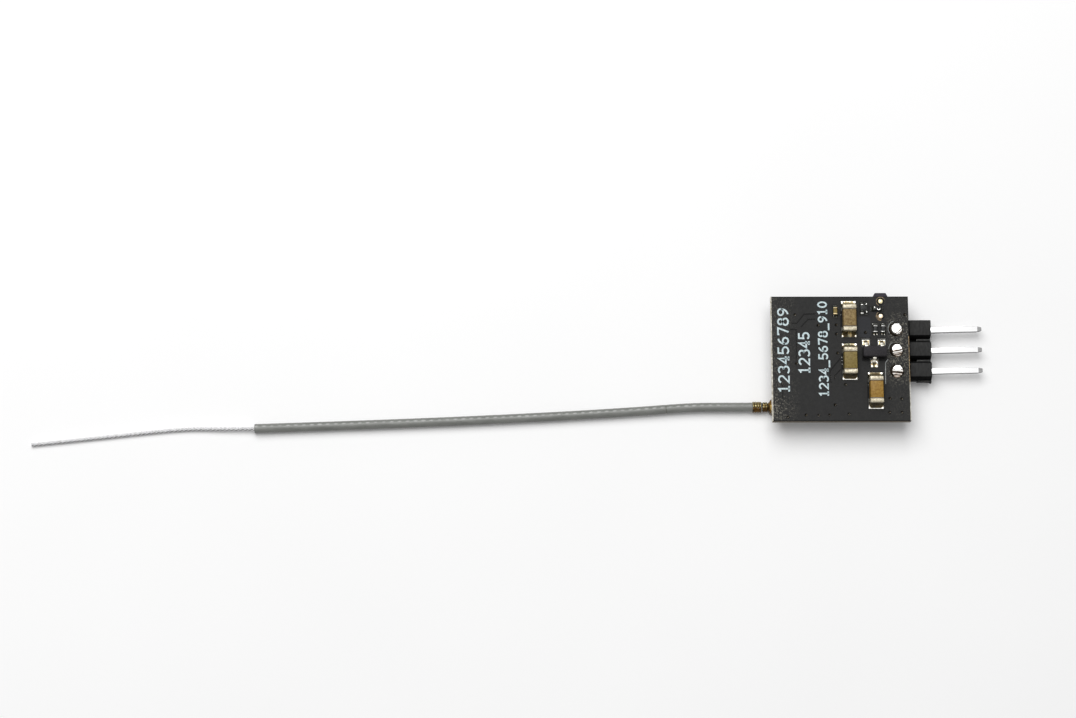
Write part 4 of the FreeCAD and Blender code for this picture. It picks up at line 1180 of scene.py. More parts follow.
def solder_pool(bm, wall, toe, half_width, chip_half, rise, flux_and_shade, rim=0.10, seed=0.0, corners=1.0,
                thin=0.0, edge_flux_and_shade=0.0):
    """Solder from a chip's wall out to its pad's rim. wall and toe are points on the board.

    The flux number sets crust and painted shade in the hollow, the edge number that of the rim between
    its corners, and thin lowers the number in the middle of the hollow, where the crust is thin.
    """
    forward = toe - wall
    length = forward.length
    forward = forward / length
    sideways = Vector((-forward.y, forward.x, 0))

    def place_at(u, v):
        out, across = u, 2 * v - 1
        reach = abs(across) * half_width
        from_rim = min((1 - out) * length, half_width - reach)
        edge = math.sqrt(max(0.0, 1 - (1 - min(from_rim / 0.09, 1.0)) ** 2))
        climb = rise * (1 - out) ** 2.4
        if reach > chip_half:
            climb *= max(0.0, 1 - (reach - chip_half) / (half_width - chip_half + 0.01)) ** 1.5
        corner = math.hypot((1 - out) * length - 0.12, half_width - reach - 0.13)
        lump = corners * math.exp(-(corner / (1.5 * rim)) ** 2)
        ripple = noise.noise(Vector((out * 3, across * 4, seed)))
        height = edge * (0.06 + 0.07 * lump + 0.02 * ripple) + climb
        within = smooth_step(from_rim, rim * 0.9, rim * 1.4)
        middle_part = math.exp(-((across - 0.08) / 0.42) ** 2)
        on_rim = edge_flux_and_shade * (1 - 0.8 * thin * middle_part)
        crust_and_shade = (on_rim * (1 - within) + (flux_and_shade - thin * middle_part) * within) * (1 - min(1.4 * lump, 1.0))
        if reach > chip_half:
            crust_and_shade = min(crust_and_shade, 0.3)
        place = wall + forward * (out * length) + sideways * (across * half_width) + Vector((0, 0, height))
        return place, crust_and_shade

    rows = height_field(bm, place_at, *POOL_STEPS)
    border = [row[0] for row in rows] + rows[-1][1:-1] + [row[-1] for row in rows[::-1]] + rows[0][-2:0:-1]
    skin(bm, [border, [bm.verts.new((vert.co.x, vert.co.y, board_top)) for vert in border]])


BULK_TOE = 0.65
BULK_MARGIN = 0.14
BULK_CLIMB = 0.72
# Painted shade: the front ends (side -1) get more crust, in place of their dark reflection.
POOL_LOOK = {
    (1, 1): (0.40, 0.12, 0.0, 0.22), (1, -1): (0.95, 0.10, 0.65, 0.9),
    (2, 1): (0.46, 0.12, 0.0, 0.40), (2, -1): (1.1, 0.11, 0.15, 0.0),
    (3, 1): (0.55, 0.12, 0.0, 0.50), (3, -1): (1.0, 0.11, 0.25, 0.05),
}
bm = bmesh.new()
for (number, side), (flux_and_shade, rim, thin, edge_flux_and_shade) in sorted(POOL_LOOK.items()):
    low, high = span("bulk_capacitor_%d_terminals" % number)
    middle = (low + high) / 2
    half = (high - low) / 2
    wall = Vector((middle.x, middle.y + side * (half.y - 0.12), board_top))
    toe = Vector((middle.x, middle.y + side * (half.y + BULK_TOE), board_top))
    solder_pool(bm, wall, toe, half.x + BULK_MARGIN, half.x, BULK_CLIMB, flux_and_shade, rim,
                seed=number + side * 0.4, thin=thin, edge_flux_and_shade=edge_flux_and_shade)
keep("bulk_capacitor_pools", bm, solder, stands_for=["bulk_capacitor_solder"])
print("solder pools on the bulk capacitors", len(POOL_LOOK))

# %% [markdown]
# ## Small chips
# The small parts follow the same recipe at a third of the size. One of them is turned a quarter, and
# the array has four separate ends. Their joints are darker than the big ones, with a bright bead of
# solder at a corner here and there.

# %% Small chips and their ends
SMALL_RADIUS = 0.045
SMALL_HALF_LENGTH = 0.5
SMALL_HALF_WIDTH = 0.25
SMALL_CAP = 0.25
SMALL_CHIPS = {
    "filter_capacitor": (ceramic_olive, "brown_ceramic", "y", 0.6),
    "pull_up_resistor": (overglaze, "resistor_coat", "y", 1.0),
    "signal_resistor": (overglaze, "resistor_coat", "y", 1.0),
    "led_resistor": (overglaze, "resistor_coat", "x", 0.8),
}
DARK_CRUST_AND_SHADE = 0.95
caps = bmesh.new()
olive_caps = bmesh.new()
pools = bmesh.new()


def cap_number(name, side, out):
    """Number for crust and painted shade on an end cap, at a distance out from the chip's middle."""
    if name == "led_resistor":
        return DARK_CRUST_AND_SHADE
    if name == "filter_capacitor":
        return 0.30 if out < 0.42 else 0.7
    # Painted shade: a resistor's front end is dark and its rear end bright.
    return 0.0 if side > 0 else 0.9


for name, (material, slot, axis, flux_and_shade) in SMALL_CHIPS.items():
    low, high = span(name + "_body")
    bm = bmesh.new()
    chip_body(bm, low, high, SMALL_RADIUS * 0.7, axis)
    keep(name + "_block", bm, material, stands_for=[name + "_body"])
    middle = (low + high) / 2
    half = lengthwise(axis, SMALL_HALF_WIDTH, SMALL_HALF_LENGTH, (high.z - low.z) / 2 + 0.03)
    direction = lengthwise(axis, 0, 1, 0)
    target = olive_caps if name == "filter_capacitor" else caps
    for side in (-1, 1):
        first_new = len(target.verts)
        end_cap(target, middle - half, middle + half, SMALL_CAP, SMALL_RADIUS, axis, side, 0.03)
        number_new(target, first_new, lambda co: cap_number(name, side, abs((co - middle).dot(direction))))
        base = Vector((middle.x, middle.y, board_top))
        front = side < 0 and axis == "y" and name != "filter_capacitor"
        solder_pool(pools, base + direction * side * (SMALL_HALF_LENGTH - 0.06),
                    base + direction * side * (SMALL_HALF_LENGTH + 0.25), half_width=0.29,
                    chip_half=SMALL_HALF_WIDTH, rise=0.2, flux_and_shade=flux_and_shade, rim=0.05, seed=side + middle.x,
                    corners=0.8 if front else 0.0, edge_flux_and_shade=1.0)
print("small chips", len(SMALL_CHIPS))

# %% [markdown]
# The resistor array is one block with four ends. The beads are plain drops of solder, placed one by one
# where the photograph shows a glint, and three short bright lines are solder that wicked along a chip.

# %% Resistor array, beads and splashes
ARRAY_TOP = 0.40
BEADS = [
    (-1.89, 6.19, ARRAY_TOP, 0.16, 0.07, 0.06, 0), (-1.37, 6.25, ARRAY_TOP, 0.12, 0.08, 0.07, 45),
    (-1.88, 5.20, 0.14, 0.26, 0.16, 0.17, 0), (-1.35, 5.28, ARRAY_TOP - 0.02, 0.11, 0.09, 0.08, 0),
    (-0.38, 5.84, 0.38, 0.09, 0.13, 0.09, 20), (-0.50, 2.53, 0.05, 0.08, 0.08, 0.10, 0),
    (-0.13, 2.53, 0.05, 0.08, 0.08, 0.10, 0), (0.76, 2.52, 0.05, 0.08, 0.07, 0.10, 0),
    (0.46, 2.56, 0.05, 0.05, 0.06, 0.08, 0), (-0.60, 3.86, 0.03, 0.06, 0.09, 0.07, 20),
    (0.60, 3.90, 0.03, 0.05, 0.06, 0.06, 0), (-5.32, 4.84, 0.05, 0.05, 0.05, 0.06, 0),
    (-4.92, 4.82, 0.05, 0.05, 0.05, 0.06, 0), (-4.44, 5.00, 0.0, 0.07, 0.09, 0.16, 0),
    (-4.43, -0.20, 0.0, 0.06, 0.12, 0.12, 10), (-4.43, -0.62, 0.0, 0.05, 0.07, 0.10, 0),
    (-4.42, -1.02, 0.0, 0.05, 0.09, 0.10, -20), (-1.36, -3.60, 0.0, 0.05, 0.06, 0.10, 0),
]
low, high = span("resistor_array_body")
bm = bmesh.new()
chip_body(bm, low, high, 0.04, "y")
keep("resistor_array_block", bm, overglaze, stands_for=["resistor_array_body"])
array_middle = (low + high) / 2
end_half = Vector((0.15, 0.14, 0.2))
for side in (-1, 1):
    for shift in (-0.26, 0.26):
        centre = array_middle + Vector((shift, side * 0.4, 0.015))
        first_new = len(caps.verts)
        chip_body(caps, centre - end_half, centre + end_half, 0.04, "y")
        # Painted shade: the array's four ends are dark all over, so that only the beads shine.
        number_new(caps, first_new, lambda co: DARK_CRUST_AND_SHADE)
        base = Vector((centre.x, array_middle.y + side * 0.5, board_top))
        toe = base + Vector((0, side * 0.26, 0))
        solder_pool(pools, base, toe, half_width=0.15, chip_half=0.13, rise=0.16, flux_and_shade=1.0, rim=0.04,
                    seed=shift + side, corners=0.0, edge_flux_and_shade=1.0)
for x, y, up, reach_x, reach_y, height, turn in BEADS:
    blob(pools, Vector((x, y, board_top + up)), reach_x, reach_y, height, turn)
splash_z = span("led_resistor_body")[1].z
for line, width in (([(-0.66, 2.90), (-0.11, 2.90)], 0.08), ([(0.28, 2.90), (0.77, 2.90)], 0.08),
                    (arc(0.11, 5.69, 0.17, 0.12, 150, 380, 14), 0.09)):
    ribbon(pools, line, width, splash_z - 0.02, splash_z + 0.05)
keep("small_chip_caps", caps, cap_metal, stands_for=["small_chip_terminals"])
keep("filter_capacitor_caps", olive_caps, cap_olive)
keep("small_chip_pools", pools, solder_dim, stands_for=["small_chip_solder"])
print("beads", len(BEADS))

# %% [markdown]
# ## The regulator
# A moulded package comes out of a two-part mould, so its sides lean both ways from the parting line.
# Its leads leave at that line, bend down and end in flat feet. Each lead is one strip of metal bent
# twice, so it is a rectangle carried along a bent line.

# %% Regulator body and leads
PARTING_HEIGHT = 0.52
LEAD_WIDTH = 0.42
LEAD_THICKNESS = 0.13
LEAD_SHIFT = 0.95
LEAD_REACH = 0.58
REAR_POOL, FRONT_POOL = 0.66, 0.94
low, high = span("regulator_body")
centre = (low + high) / 2
half = (high - low) / 2
parting = low.z + PARTING_HEIGHT
rings = []
for z, lean in ((low.z, 0.11), (low.z + 0.05, 0.06), (parting - 0.02, 0.0), (parting + 0.02, 0.0),
                (high.z - 0.07, 0.05), (high.z - 0.02, 0.08), (high.z, 0.13)):
    rings.append([Vector((centre.x + x, centre.y + y, z))
                  for x, y in rounded_rectangle(half.x - lean, half.y - lean, 0.07)])
bm = bmesh.new()
loft(bm, rings)
crisp(keep("regulator_package", bm, epoxy, stands_for=["regulator_body"]), 40)


def lead_strip(bm, x, start_y, side):
    """Gull-wing lead from the package wall, over its bends, to the end of its foot."""
    toe = half.y + LEAD_REACH
    line = [(half.y - 0.2, 0.55), (half.y + 0.06, 0.55), (half.y + 0.14, 0.53), (half.y + 0.19, 0.46),
            (toe - 0.46, 0.17), (toe - 0.40, 0.09), (toe - 0.32, 0.066), (toe, 0.066)]
    rings = []
    for index, place in enumerate(line):
        before = Vector(line[max(index - 1, 0)])
        after = Vector(line[min(index + 1, len(line) - 1)])
        heading = (after - before).normalized()
        normal = Vector((-heading.y, heading.x))
        ring = []
        for across, rise in rounded_rectangle(LEAD_WIDTH / 2, LEAD_THICKNESS / 2, 0.03, 2):
            out, up = Vector(place) + normal * rise
            ring.append(Vector((x + across, start_y + side * out, board_top + 0.05 + up)))
        rings.append(ring)
    loft(bm, rings)
    return start_y + side * toe


strips = bmesh.new()
bm = bmesh.new()
for shift, side in ((-LEAD_SHIFT, 1), (LEAD_SHIFT, 1), (0.0, -1)):
    x = centre.x + shift
    toe_y = lead_strip(strips, x, centre.y, side)
    start = Vector((x, toe_y - side * 0.34, board_top))
    if side > 0:
        solder_pool(bm, start, start + Vector((0, REAR_POOL, 0)), half_width=0.47, chip_half=0.22,
                    rise=0.13, flux_and_shade=1.1, rim=0.085, seed=x, corners=0.5, edge_flux_and_shade=-0.1)
    else:
        solder_pool(bm, start, start + Vector((0, -FRONT_POOL, 0)), half_width=0.45, chip_half=0.22,
                    rise=0.13, flux_and_shade=0.85, rim=0.12, seed=x, thin=0.3, edge_flux_and_shade=0.8)
        for turn in (-1, 1):
            blob(bm, Vector((x + turn * 0.30, toe_y + 0.06, board_top + 0.05)), 0.10, 0.34, 0.13, turn * 14,
                 0.12 - 0.1 * turn)
keep("regulator_lead_strips", strips, tin_copper, stands_for=["regulator_leads"])
keep("regulator_pools", bm, solder, stands_for=["regulator_solder"])
print("regulator at", round(centre.x, 2), round(centre.y, 2))

# %% [markdown]
# ## The header's solder joints
# Each leg comes up through its hole and was clipped after soldering. The solder stands round it as a
# steep dome whose top is the flat clipped end. On the front side it froze in steps, which read as dark
# lines between bright bands. Height is a function of place here: the profile of a dome, cut off
# by a staircase that goes down past a line. Dark crust is painted on the risers, as painted shade on the
# steps, and in the ring at the foot, as painted dark reflection on the steep flank.

# %% Domes on the clipped legs
DOME_PROFILE = ((0.0, 0.66), (0.50, 0.66), (0.58, 0.63), (0.63, 0.56), (0.67, 0.45), (0.71, 0.30),
                (0.76, 0.16), (0.80, 0.08), (0.84, 0.03), (0.86, 0.0))
DOME_SIDES = 96
DOME_RINGS = 46
DOMES = [
    (40, 0.30, ((0.36, 0.10, 0.05, 0.7), (0.62, 0.12, 0.04, 0.5))),
    (14, -0.05, ((0.12, 0.12, 0.075, 1.3), (0.37, 0.10, 0.04, 0.8), (0.56, 0.14, 0.07, 1.2))),
    (-4, -0.05, ((-0.10, 0.05, 0.035, 0.8), (0.24, 0.14, 0.09, 1.4), (0.53, 0.12, 0.05, 1.2))),
]
FOOT_PROFILE = ((0.72, board_low.z), (0.66, board_low.z - 0.04), (0.56, board_low.z - 0.14),
                (0.5, board_low.z - 0.26), (0.42, joints_low.z))


def dome_height(radius):
    """Height of the dome at a radius, between the points of its profile."""
    for (r0, z0), (r1, z1) in zip(DOME_PROFILE, DOME_PROFILE[1:]):
        if radius <= r1:
            return z0 + (z1 - z0) * (radius - r0) / (r1 - r0)
    return 0.0


def dome_point(px, py, y, radius, normal, steps, stain_from):
    """Height and number for crust and painted shade at a place on a dome. Past is how far it lies beyond
    the middle, to the front.
    """
    top = DOME_PROFILE[0][1]
    past = px * normal.x + py * normal.y + 0.05 * noise.noise(Vector((px * 2.5, py * 2.5, y)))
    limit = top
    line = 0.0
    # Painted shade: a dark line on each riser of the staircase.
    for offset, drop, half_line, strength in steps:
        limit -= drop * smooth_step(past, offset - 0.02, offset + 0.05)
        fade = 0.75 + 0.5 * noise.noise(Vector((px * 3.5, offset * 9, y * 2)))
        line = max(line, strength * fade * math.exp(-((past - offset) / half_line) ** 2))
    limit -= 0.25 * max(0.0, past - steps[0][0]) ** 1.3
    own = dome_height(radius)
    height = min(own, limit) + 0.02 * (own / top) * noise.noise(Vector((px * 3, py * 3, y)))
    # Painted dark reflection: the ring at the foot of the dome is dark.
    foot = smooth_step(radius, 0.67, 0.74)
    stain = 0.22 * smooth_step(past, stain_from + 0.3, stain_from + 0.6)
    return height, max(line * (1 - foot), 1.1 * foot * (1 - 0.75 * smooth_step(past, 0.5, 0.75)), stain)


def solder_dome(bm, x, y, turn, stain_from, steps):
    """One dome with a staircase down past lines that face the front, turned by an angle.

    Each step is (distance past the middle, drop, half width of its dark line, strength of the line).
    """
    rings = []
    numbers = []
    normal = Vector((math.sin(math.radians(turn)), -math.cos(math.radians(turn))))
    for ring_index in range(DOME_RINGS):
        radius = DOME_PROFILE[-1][0] * (1 - ring_index / DOME_RINGS)
        ring = []
        for angle in angles_round(DOME_SIDES):
            px, py = radius * math.cos(angle), radius * math.sin(angle)
            height, flux_and_shade = dome_point(px, py, y, radius, normal, steps, stain_from)
            ring.append(Vector((x + px, y + py, board_top + height)))
            numbers.append(flux_and_shade)
        rings.append(ring)
    loft(bm, rings, cap_start=False, numbers=numbers)


bm = bmesh.new()
for y, dome in zip(joint_ys, DOMES):
    solder_dome(bm, leg_x, y, *dome)
for y in leg_ys:
    loft(bm, turned(leg_x, y, FOOT_PROFILE, 32))
keep("header_solder_domes", bm, dome_solder, stands_for=["header_solder_joints"])
print("domes at y", [round(y, 2) for y in joint_ys])

# %% [markdown]
# ## Test points
# The two gold discs lie in round openings of the mask. Each opening shows a dark ring of bare board,
# and outside that a thin rim of copper. On the front one the mask slipped to a side, so copper shows
# as a crescent on the left.

# %% Discs, rims and crescent
TEST_PROFILE = (0.285, 0.0), (0.285, 0.05), (0.255, 0.085), (0.2, 0.10), (0.08, 0.105)
for number, (point, material) in enumerate(zip(test_points, (gold_pale, gold_pink)), 1):
    bm = bmesh.new()
    loft(bm, turned(point.x, point.y, TEST_PROFILE, base=board_top))
    keep("test_point_%d" % number, bm, material,
         stands_for=["test_points"] if number == 1 else ())
bm = bmesh.new()
first, second = test_points
ribbon(bm, arc(first.x, first.y, 0.52, 0.52, 20, 240, 23), 0.055, skin_top - 0.02, skin_top + 0.006)
ribbon(bm, arc(second.x, second.y, 0.53, 0.53, 120, 275, 14), 0.07, skin_top - 0.02, skin_top + 0.006)
ribbon(bm, arc(second.x, second.y, 0.40, 0.40, 165, 290, 10), 0.08, board_top, board_top + 0.03)
keep("test_point_rims", bm, copper_tan, smooth=False)
print("test points", len(test_points))

# %% [markdown]
# ## The header
# A pin strip is a row of cells that can be snapped apart. Each cell has steep shoulders, and only a
# low web joins it to the next, so that from above the notches look black with one thin line of light,
# the top of the web. That line is a painted highlight, a ridge of paler nylon along the web's top. Cells
# and web are lofts along the pins. The web stops short of the board side, where the strip is slotted,
# and at the front it ends in the torn scar of the cell that was snapped off. Below the web and in the
# slot, a low block of black nylon stands as painted shade, so that no floor shows through.

# %% Cells, web and scar
CELL_PITCH = 2.54
CELL_TOP_FRONT = 0.78
CELL_TOP_REAR = 0.92
END_TOP_REAR = 1.06
CELL_SIDE_HALF = 1.16
CELL_ROUNDING = 0.05
CELL_SHIFT = 0.05
CELL_OVERHANG = 0.17
WEB_LOW, WEB_HIGH = 0.78, 1.85
RIDGE_WIDTH = 0.09
housing_low, housing_high = span("header_housing")
cell_start = housing_low.x - CELL_OVERHANG
cell_front = leg_ys[-1] - CELL_PITCH / 2
bm = bmesh.new()
for y in leg_ys:
    rear = END_TOP_REAR if y == leg_ys[0] else CELL_TOP_REAR
    shape = [(-CELL_TOP_FRONT, housing_high.z), (rear, housing_high.z), (CELL_SIDE_HALF, WEB_HIGH),
             (CELL_SIDE_HALF, WEB_LOW), (rear, 0.0), (-CELL_TOP_FRONT, 0.0),
             (-CELL_SIDE_HALF, WEB_LOW), (-CELL_SIDE_HALF, WEB_HIGH)]
    rings = []
    for x, shrink in ((cell_start, 0.06), (cell_start + 0.02, 0.02), (cell_start + 0.06, 0.0),
                      (housing_high.x - 0.06, 0.0), (housing_high.x - 0.02, 0.02), (housing_high.x, 0.06)):
        ring = []
        for index, corner in enumerate(shape):
            point = Vector(corner)
            for other in (shape[index - 1], shape[(index + 1) % 8]):
                near = point + (Vector(other) - point).normalized() * CELL_ROUNDING
                across, up = Vector((0, housing_high.z / 2)).lerp(near, 1 - shrink)
                ring.append(Vector((x, y + CELL_SHIFT + across, up)))
        rings.append(ring)
    loft(bm, rings)
crisp(keep("header_cells", bm, nylon, stands_for=["header_housing"]), 30)
bm = bmesh.new()
web_from, web_to = housing_low.x + 0.78, housing_high.x - 0.02
chip_body(bm, Vector((web_from, leg_ys[-1], WEB_LOW)), Vector((web_to, leg_ys[0], WEB_HIGH)), 0.03, "y")
# Painted shade: a low black block fills the space under the web and the slot, so no floor shows between the
# cells.
chip_body(bm, Vector((cell_start + 0.1, leg_ys[-1], 0.1)),
          Vector((web_to - 0.05, leg_ys[0], WEB_LOW + 0.4)), 0.03, "y")
keep("header_webs_and_shade_filler", bm, nylon, smooth=False)
# Painted highlight: a ridge of paler nylon along the top of each web.
bm = bmesh.new()
for index in (1, 2):
    y = cell_front + index * CELL_PITCH + 0.05
    ridge = [(web_from, y - 0.14), (web_from + 0.02, y), (web_to, y)]
    ribbon(bm, ridge, RIDGE_WIDTH, WEB_HIGH - 0.1, WEB_HIGH + 0.05)
keep("header_web_ridge_highlights", bm, nylon_web_highlight, smooth=False)


def scar_at(u, v):
    """Point on the torn end of the web, on the housing's front side and top."""
    x = web_from + u * (web_to - web_from)
    over = smooth_step(v, 0.72, 0.86)
    z = WEB_LOW + min(v / 0.8, 1.0) * (WEB_HIGH - WEB_LOW)
    out = 0.13 * (1 - smooth_step(v, 0.8, 1.0)) * smooth_step(v, 0.0, 0.12)
    torn = 0.5 + 0.5 * noise.noise(Vector((x * 2.2, z * 5, 1.0)))
    burr = 0.16 * smooth_step(u, 0.84, 0.95) * smooth_step(v, 0.1, 0.3) * (1 - over)
    side = cell_front + (CELL_PITCH / 2 - CELL_SIDE_HALF) + 0.03 - out * (0.6 + 0.8 * torn) - burr
    return Vector((x, max(side, housing_low.y + 0.01), z + 0.05 * over * torn)), 0.0


bm = bmesh.new()
height_field(bm, scar_at, 60, 24)
keep("header_scar", bm, nylon_torn)
print("cells from x", round(cell_start, 2), "to", round(housing_high.x, 2))

# %% [markdown]
# ## The pins
# Each pin is one square wire. It is chamfered at its tip, runs through the housing, bends up by a
# quarter turn under the board, and comes up through the board as the leg inside the dome. So it is one
# square ring carried along that line. A number for dull metal and painted shade marks the sheared tip
# for its material.

# %% Square wire pins
PIN_HALF = 0.32
PIN_TIP = ((0.0, 0.20, 0.76), (0.02, 0.225, 0.76), (0.45, 0.295, 0.76), (0.49, 0.30, 0.66),
           (0.55, PIN_HALF, 0.0))
PIN_SHIFT = 0.05
PIN_SLOPE = 0.025
PIN_STATIONS = (10.2, 8.2)
BEND_RADIUS = 0.55
BEND_STEPS = 6
pin_low, pin_high = span("header_pin_power")
pin_z = pin_low.z + PIN_HALF
stations = [(pin_high.x - back, pin_z, -1, 0, half_side, dull_and_shade) for back, half_side, dull_and_shade in PIN_TIP]
for x in (*PIN_STATIONS, housing_high.x + 0.3, housing_low.x):
    stations.append((x, pin_z, -1, 0, PIN_HALF, 0.0))
for step in range(BEND_STEPS + 1):
    turn = math.radians(90 * step / BEND_STEPS)
    stations.append((leg_x + BEND_RADIUS * (1 - math.sin(turn)), pin_z + BEND_RADIUS * (1 - math.cos(turn)),
                     -math.cos(turn), math.sin(turn), PIN_HALF, 0.0))
stations.append((leg_x, pin_high.z - 0.02, 0, 1, PIN_HALF - 0.02, 0.5))
for name, y in pin_ys.items():
    rings = []
    numbers = []
    for x, z, head_x, head_z, half_side, dull_and_shade in stations:
        bent = PIN_SLOPE * max(0.0, x - housing_high.x)
        rings.append([Vector((x - head_z * rise, y + PIN_SHIFT + bent + across, z + head_x * -rise))
                      for across, rise in rounded_rectangle(half_side, half_side, 0.045, 3)])
        numbers += [dull_and_shade] * len(rings[-1])
    bm = bmesh.new()
    loft(bm, rings, numbers=numbers, name="dull_and_shade")
    crisp(keep("header_wire_" + name, bm, pin_tin, stands_for=["header_pin_" + name]), 30)
print("pins from x", round(leg_x, 2), "to", round(pin_high.x, 2))

# %% [markdown]
# ## The antenna plug
# The plug is stamped from thin sheet and gold plated. Its cup clips over the socket from below, its
# neck widens from the cable to the cup, and two pairs of wings are rolled round the shield and round
# the jacket. A rolled crimp isn't a plain tube: it has a seam where its wings meet, ribs that bite, and
# a slightly square section. The crimps are fields of points in angle and length, so each of these is
# one term in a radius.

# %% Plug finish and its crimps
gold_worn = solder_material("gold_with_flux_and_shade", (0.012, 0.005, 0.001), (0.13, 0.068, 0.013),
                            (0.05, 0.042, 0.016), (0.31, 0.27, 0.14), stain_green=(0.085, 0.075, 0.028),
                            stain_gold=(0.24, 0.16, 0.05), crust_metal=0.8)
JACKET_CRIMP = (-15.06, -14.01)
SHIELD_CRIMP = (-13.83, -13.26)
CRIMP_STEPS, CRIMP_SIDES = 34, 56
RIB_DEPTH, SEAM_DEPTH = 0.055, 0.08
WALL_SHARE = 0.8
NECK = [(-14.05, 0.30, 0.04, 0.10), (-13.25, 0.34, 0.03, 0.12), (-13.2, 0.46, 0.02, 1.16),
        (-13.05, 0.56, 0.01, 1.26), (-12.93, 0.80, 0.01, 1.29), (-12.8, 0.90, 0.01, 1.29),
        (-12.6, 0.92, 0.01, 1.27)]
socket_low, socket_high = span("antenna_socket_shell")
socket = (socket_low + socket_high) / 2
cable_z = CABLE_ROUTE[0][2]


def round_cable(x, radius, angle):
    """Point round the cable where it enters the plug."""
    return Vector((x, socket.y + radius * math.cos(angle), cable_z + radius * math.sin(angle)))


def crimp(bm, x_start, x_end, radius, ribs, seam):
    """Rolled wings round the cable, from one x to another, with ribs at shares of their length."""
    rings = []
    numbers = []
    for step in range(CRIMP_STEPS + 1):
        share = step / CRIMP_STEPS
        x = x_start + (x_end - x_start) * share
        lip = 0.05 * (1 - smooth_step(min(share, 1 - share) * abs(x_end - x_start), 0.0, 0.06))
        rib = max([math.exp(-((share - at) * abs(x_end - x_start) / 0.045) ** 2) for at in ribs] + [0.0])
        ring = []
        for angle in angles_round(CRIMP_SIDES):
            off_seam = math.degrees(math.atan2(math.sin(angle - seam), math.cos(angle - seam)))
            groove = math.exp(-(off_seam / 7) ** 2)
            square = 0.022 * math.cos(4 * angle)
            dent = 0.02 * noise.noise(Vector((x * 3, math.cos(angle) * 2, math.sin(angle) * 2)))
            reach = radius - 0.02 - lip - RIB_DEPTH * rib - SEAM_DEPTH * groove + square + dent
            ring.append(round_cable(x, reach, angle))
            # Painted shade: the front half of each crimp, its ribs, its seam and its lips carry crust.
            front = 0.85 * smooth_step(-math.cos(angle), 0.0, 0.45)
            numbers.append(max(0.9 * rib, groove, front, 0.5 * lip / 0.05, 0.12))
        rings.append(ring)
    inner = []
    for ring in (rings[0], rings[-1]):
        inner.append([Vector((ring[0].x, socket.y + (point.y - socket.y) * WALL_SHARE,
                              cable_z + (point.z - cable_z) * WALL_SHARE)) for point in ring])
    # Painted shade inside the crimp's rolled edges.
    edge_numbers = [0.9] * CRIMP_SIDES
    loft(bm, [inner[0]] + rings + [inner[1]], False, False, edge_numbers + numbers + edge_numbers)


bm = bmesh.new()
crimp(bm, *JACKET_CRIMP, radius=0.665, ribs=(0.2, 0.52, 0.8), seam=math.radians(105))
crimp(bm, *SHIELD_CRIMP, radius=0.60, ribs=(0.5,), seam=math.radians(80))
rings = []
for x, half_width, z0, z1 in NECK:
    outline = rounded_rectangle(half_width, (z1 - z0) / 2, min(0.12, (z1 - z0) / 2 - 0.01))
    rings.append([Vector((x, socket.y + across, (z0 + z1) / 2 + rise)) for across, rise in outline])
first_new = len(bm.verts)
loft(bm, rings)
# Painted shade on the front and rear sides of the neck.
number_new(bm, first_new, lambda co: max(0.8 * smooth_step(socket.y - co.y, 0.05, 0.35),
                                         0.95 * smooth_step(co.y - socket.y, 0.30, 0.55), 0.15))
neck_piece = keep("plug_neck_and_crimps", bm, gold_worn)
print("crimps", JACKET_CRIMP, SHIELD_CRIMP)

# %% [markdown]
# The cup is a turned shape with a stepped rim. Above the rim stand four springy tongues that grip the
# socket, with a slot between each two. One tongue is a small section carried round a quarter turn.

# %% Plug cup with its slotted grip
CUP_PROFILE = [
    (0.5, 0.01), (0.56, 0.05), (1.10, 0.05), (1.18, 0.0), (1.36, 0.0), (1.43, 0.03), (1.45, 0.10),
    (1.45, 1.20), (1.43, 1.28), (1.38, 1.33), (1.28, 1.36), (1.19, 1.38), (1.165, 1.42), (1.15, 1.50),
]
TONGUE = ((1.03, 1.40), (1.15, 1.46), (1.14, 1.62), (1.165, 1.78), (1.18, 1.83), (1.16, 1.86), (1.06, 1.86),
          (1.04, 1.70))
TONGUE_START, TONGUE_END, TONGUE_STEP = 7, 84, 4
SLOT_ANGLES = (45, 135, 225, 315)
bm = bmesh.new()
loft(bm, turned(socket.x, socket.y, CUP_PROFILE, 64), cap_end=False)
for start in SLOT_ANGLES:
    sections = []
    for angle in range(start + TONGUE_START, start + TONGUE_END, TONGUE_STEP):
        cos, sin = math.cos(math.radians(angle)), math.sin(math.radians(angle))
        sections.append([Vector((socket.x + radius * cos, socket.y + radius * sin, z))
                         for radius, z in TONGUE])
    loft(bm, sections)
# Painted shade: the cup carries crust, most at its rear and its front.
number_new(bm, 0, lambda co: (0.30 + 0.6 * smooth_step(co.y - socket.y, 0.1, 0.4)
                              + 0.4 * smooth_step(socket.y - co.y, 0.3, 0.8)))
cup_piece = keep("plug_cup", bm, gold_worn, stands_for=["plug_shell"])
print("plug cup with", len(SLOT_ANGLES), "slots")

# %% [markdown]
# Between the two crimps a little of the woven shield shows. It gets a coarser weave than the jacket's
# faint relief: two families of ridges that cross.

# %% Bare shield between the crimps
SHIELD_SPAN = (-14.08, -13.2)
SHIELD_STEPS, SHIELD_SIDES = 60, 60
rings = []
numbers = []
for step in range(SHIELD_STEPS + 1):
    x = SHIELD_SPAN[0] + (SHIELD_SPAN[1] - SHIELD_SPAN[0]) * step / SHIELD_STEPS
    ring = []
    for angle in angles_round(SHIELD_SIDES):
        weave = math.sin(9 * angle + 26 * x) * math.sin(9 * angle - 26 * x)
        ring.append(round_cable(x, 0.475 + 0.018 * weave, angle))
        # Painted shade: the hollows of the weave carry more crust.
        numbers.append(0.55 - 0.35 * weave)
    rings.append(ring)
bm = bmesh.new()
loft(bm, rings, False, False, numbers)
weave_piece = keep("shield_weave", bm, solder, stands_for=["cable_shield_end"])
print("shield weave from", SHIELD_SPAN)

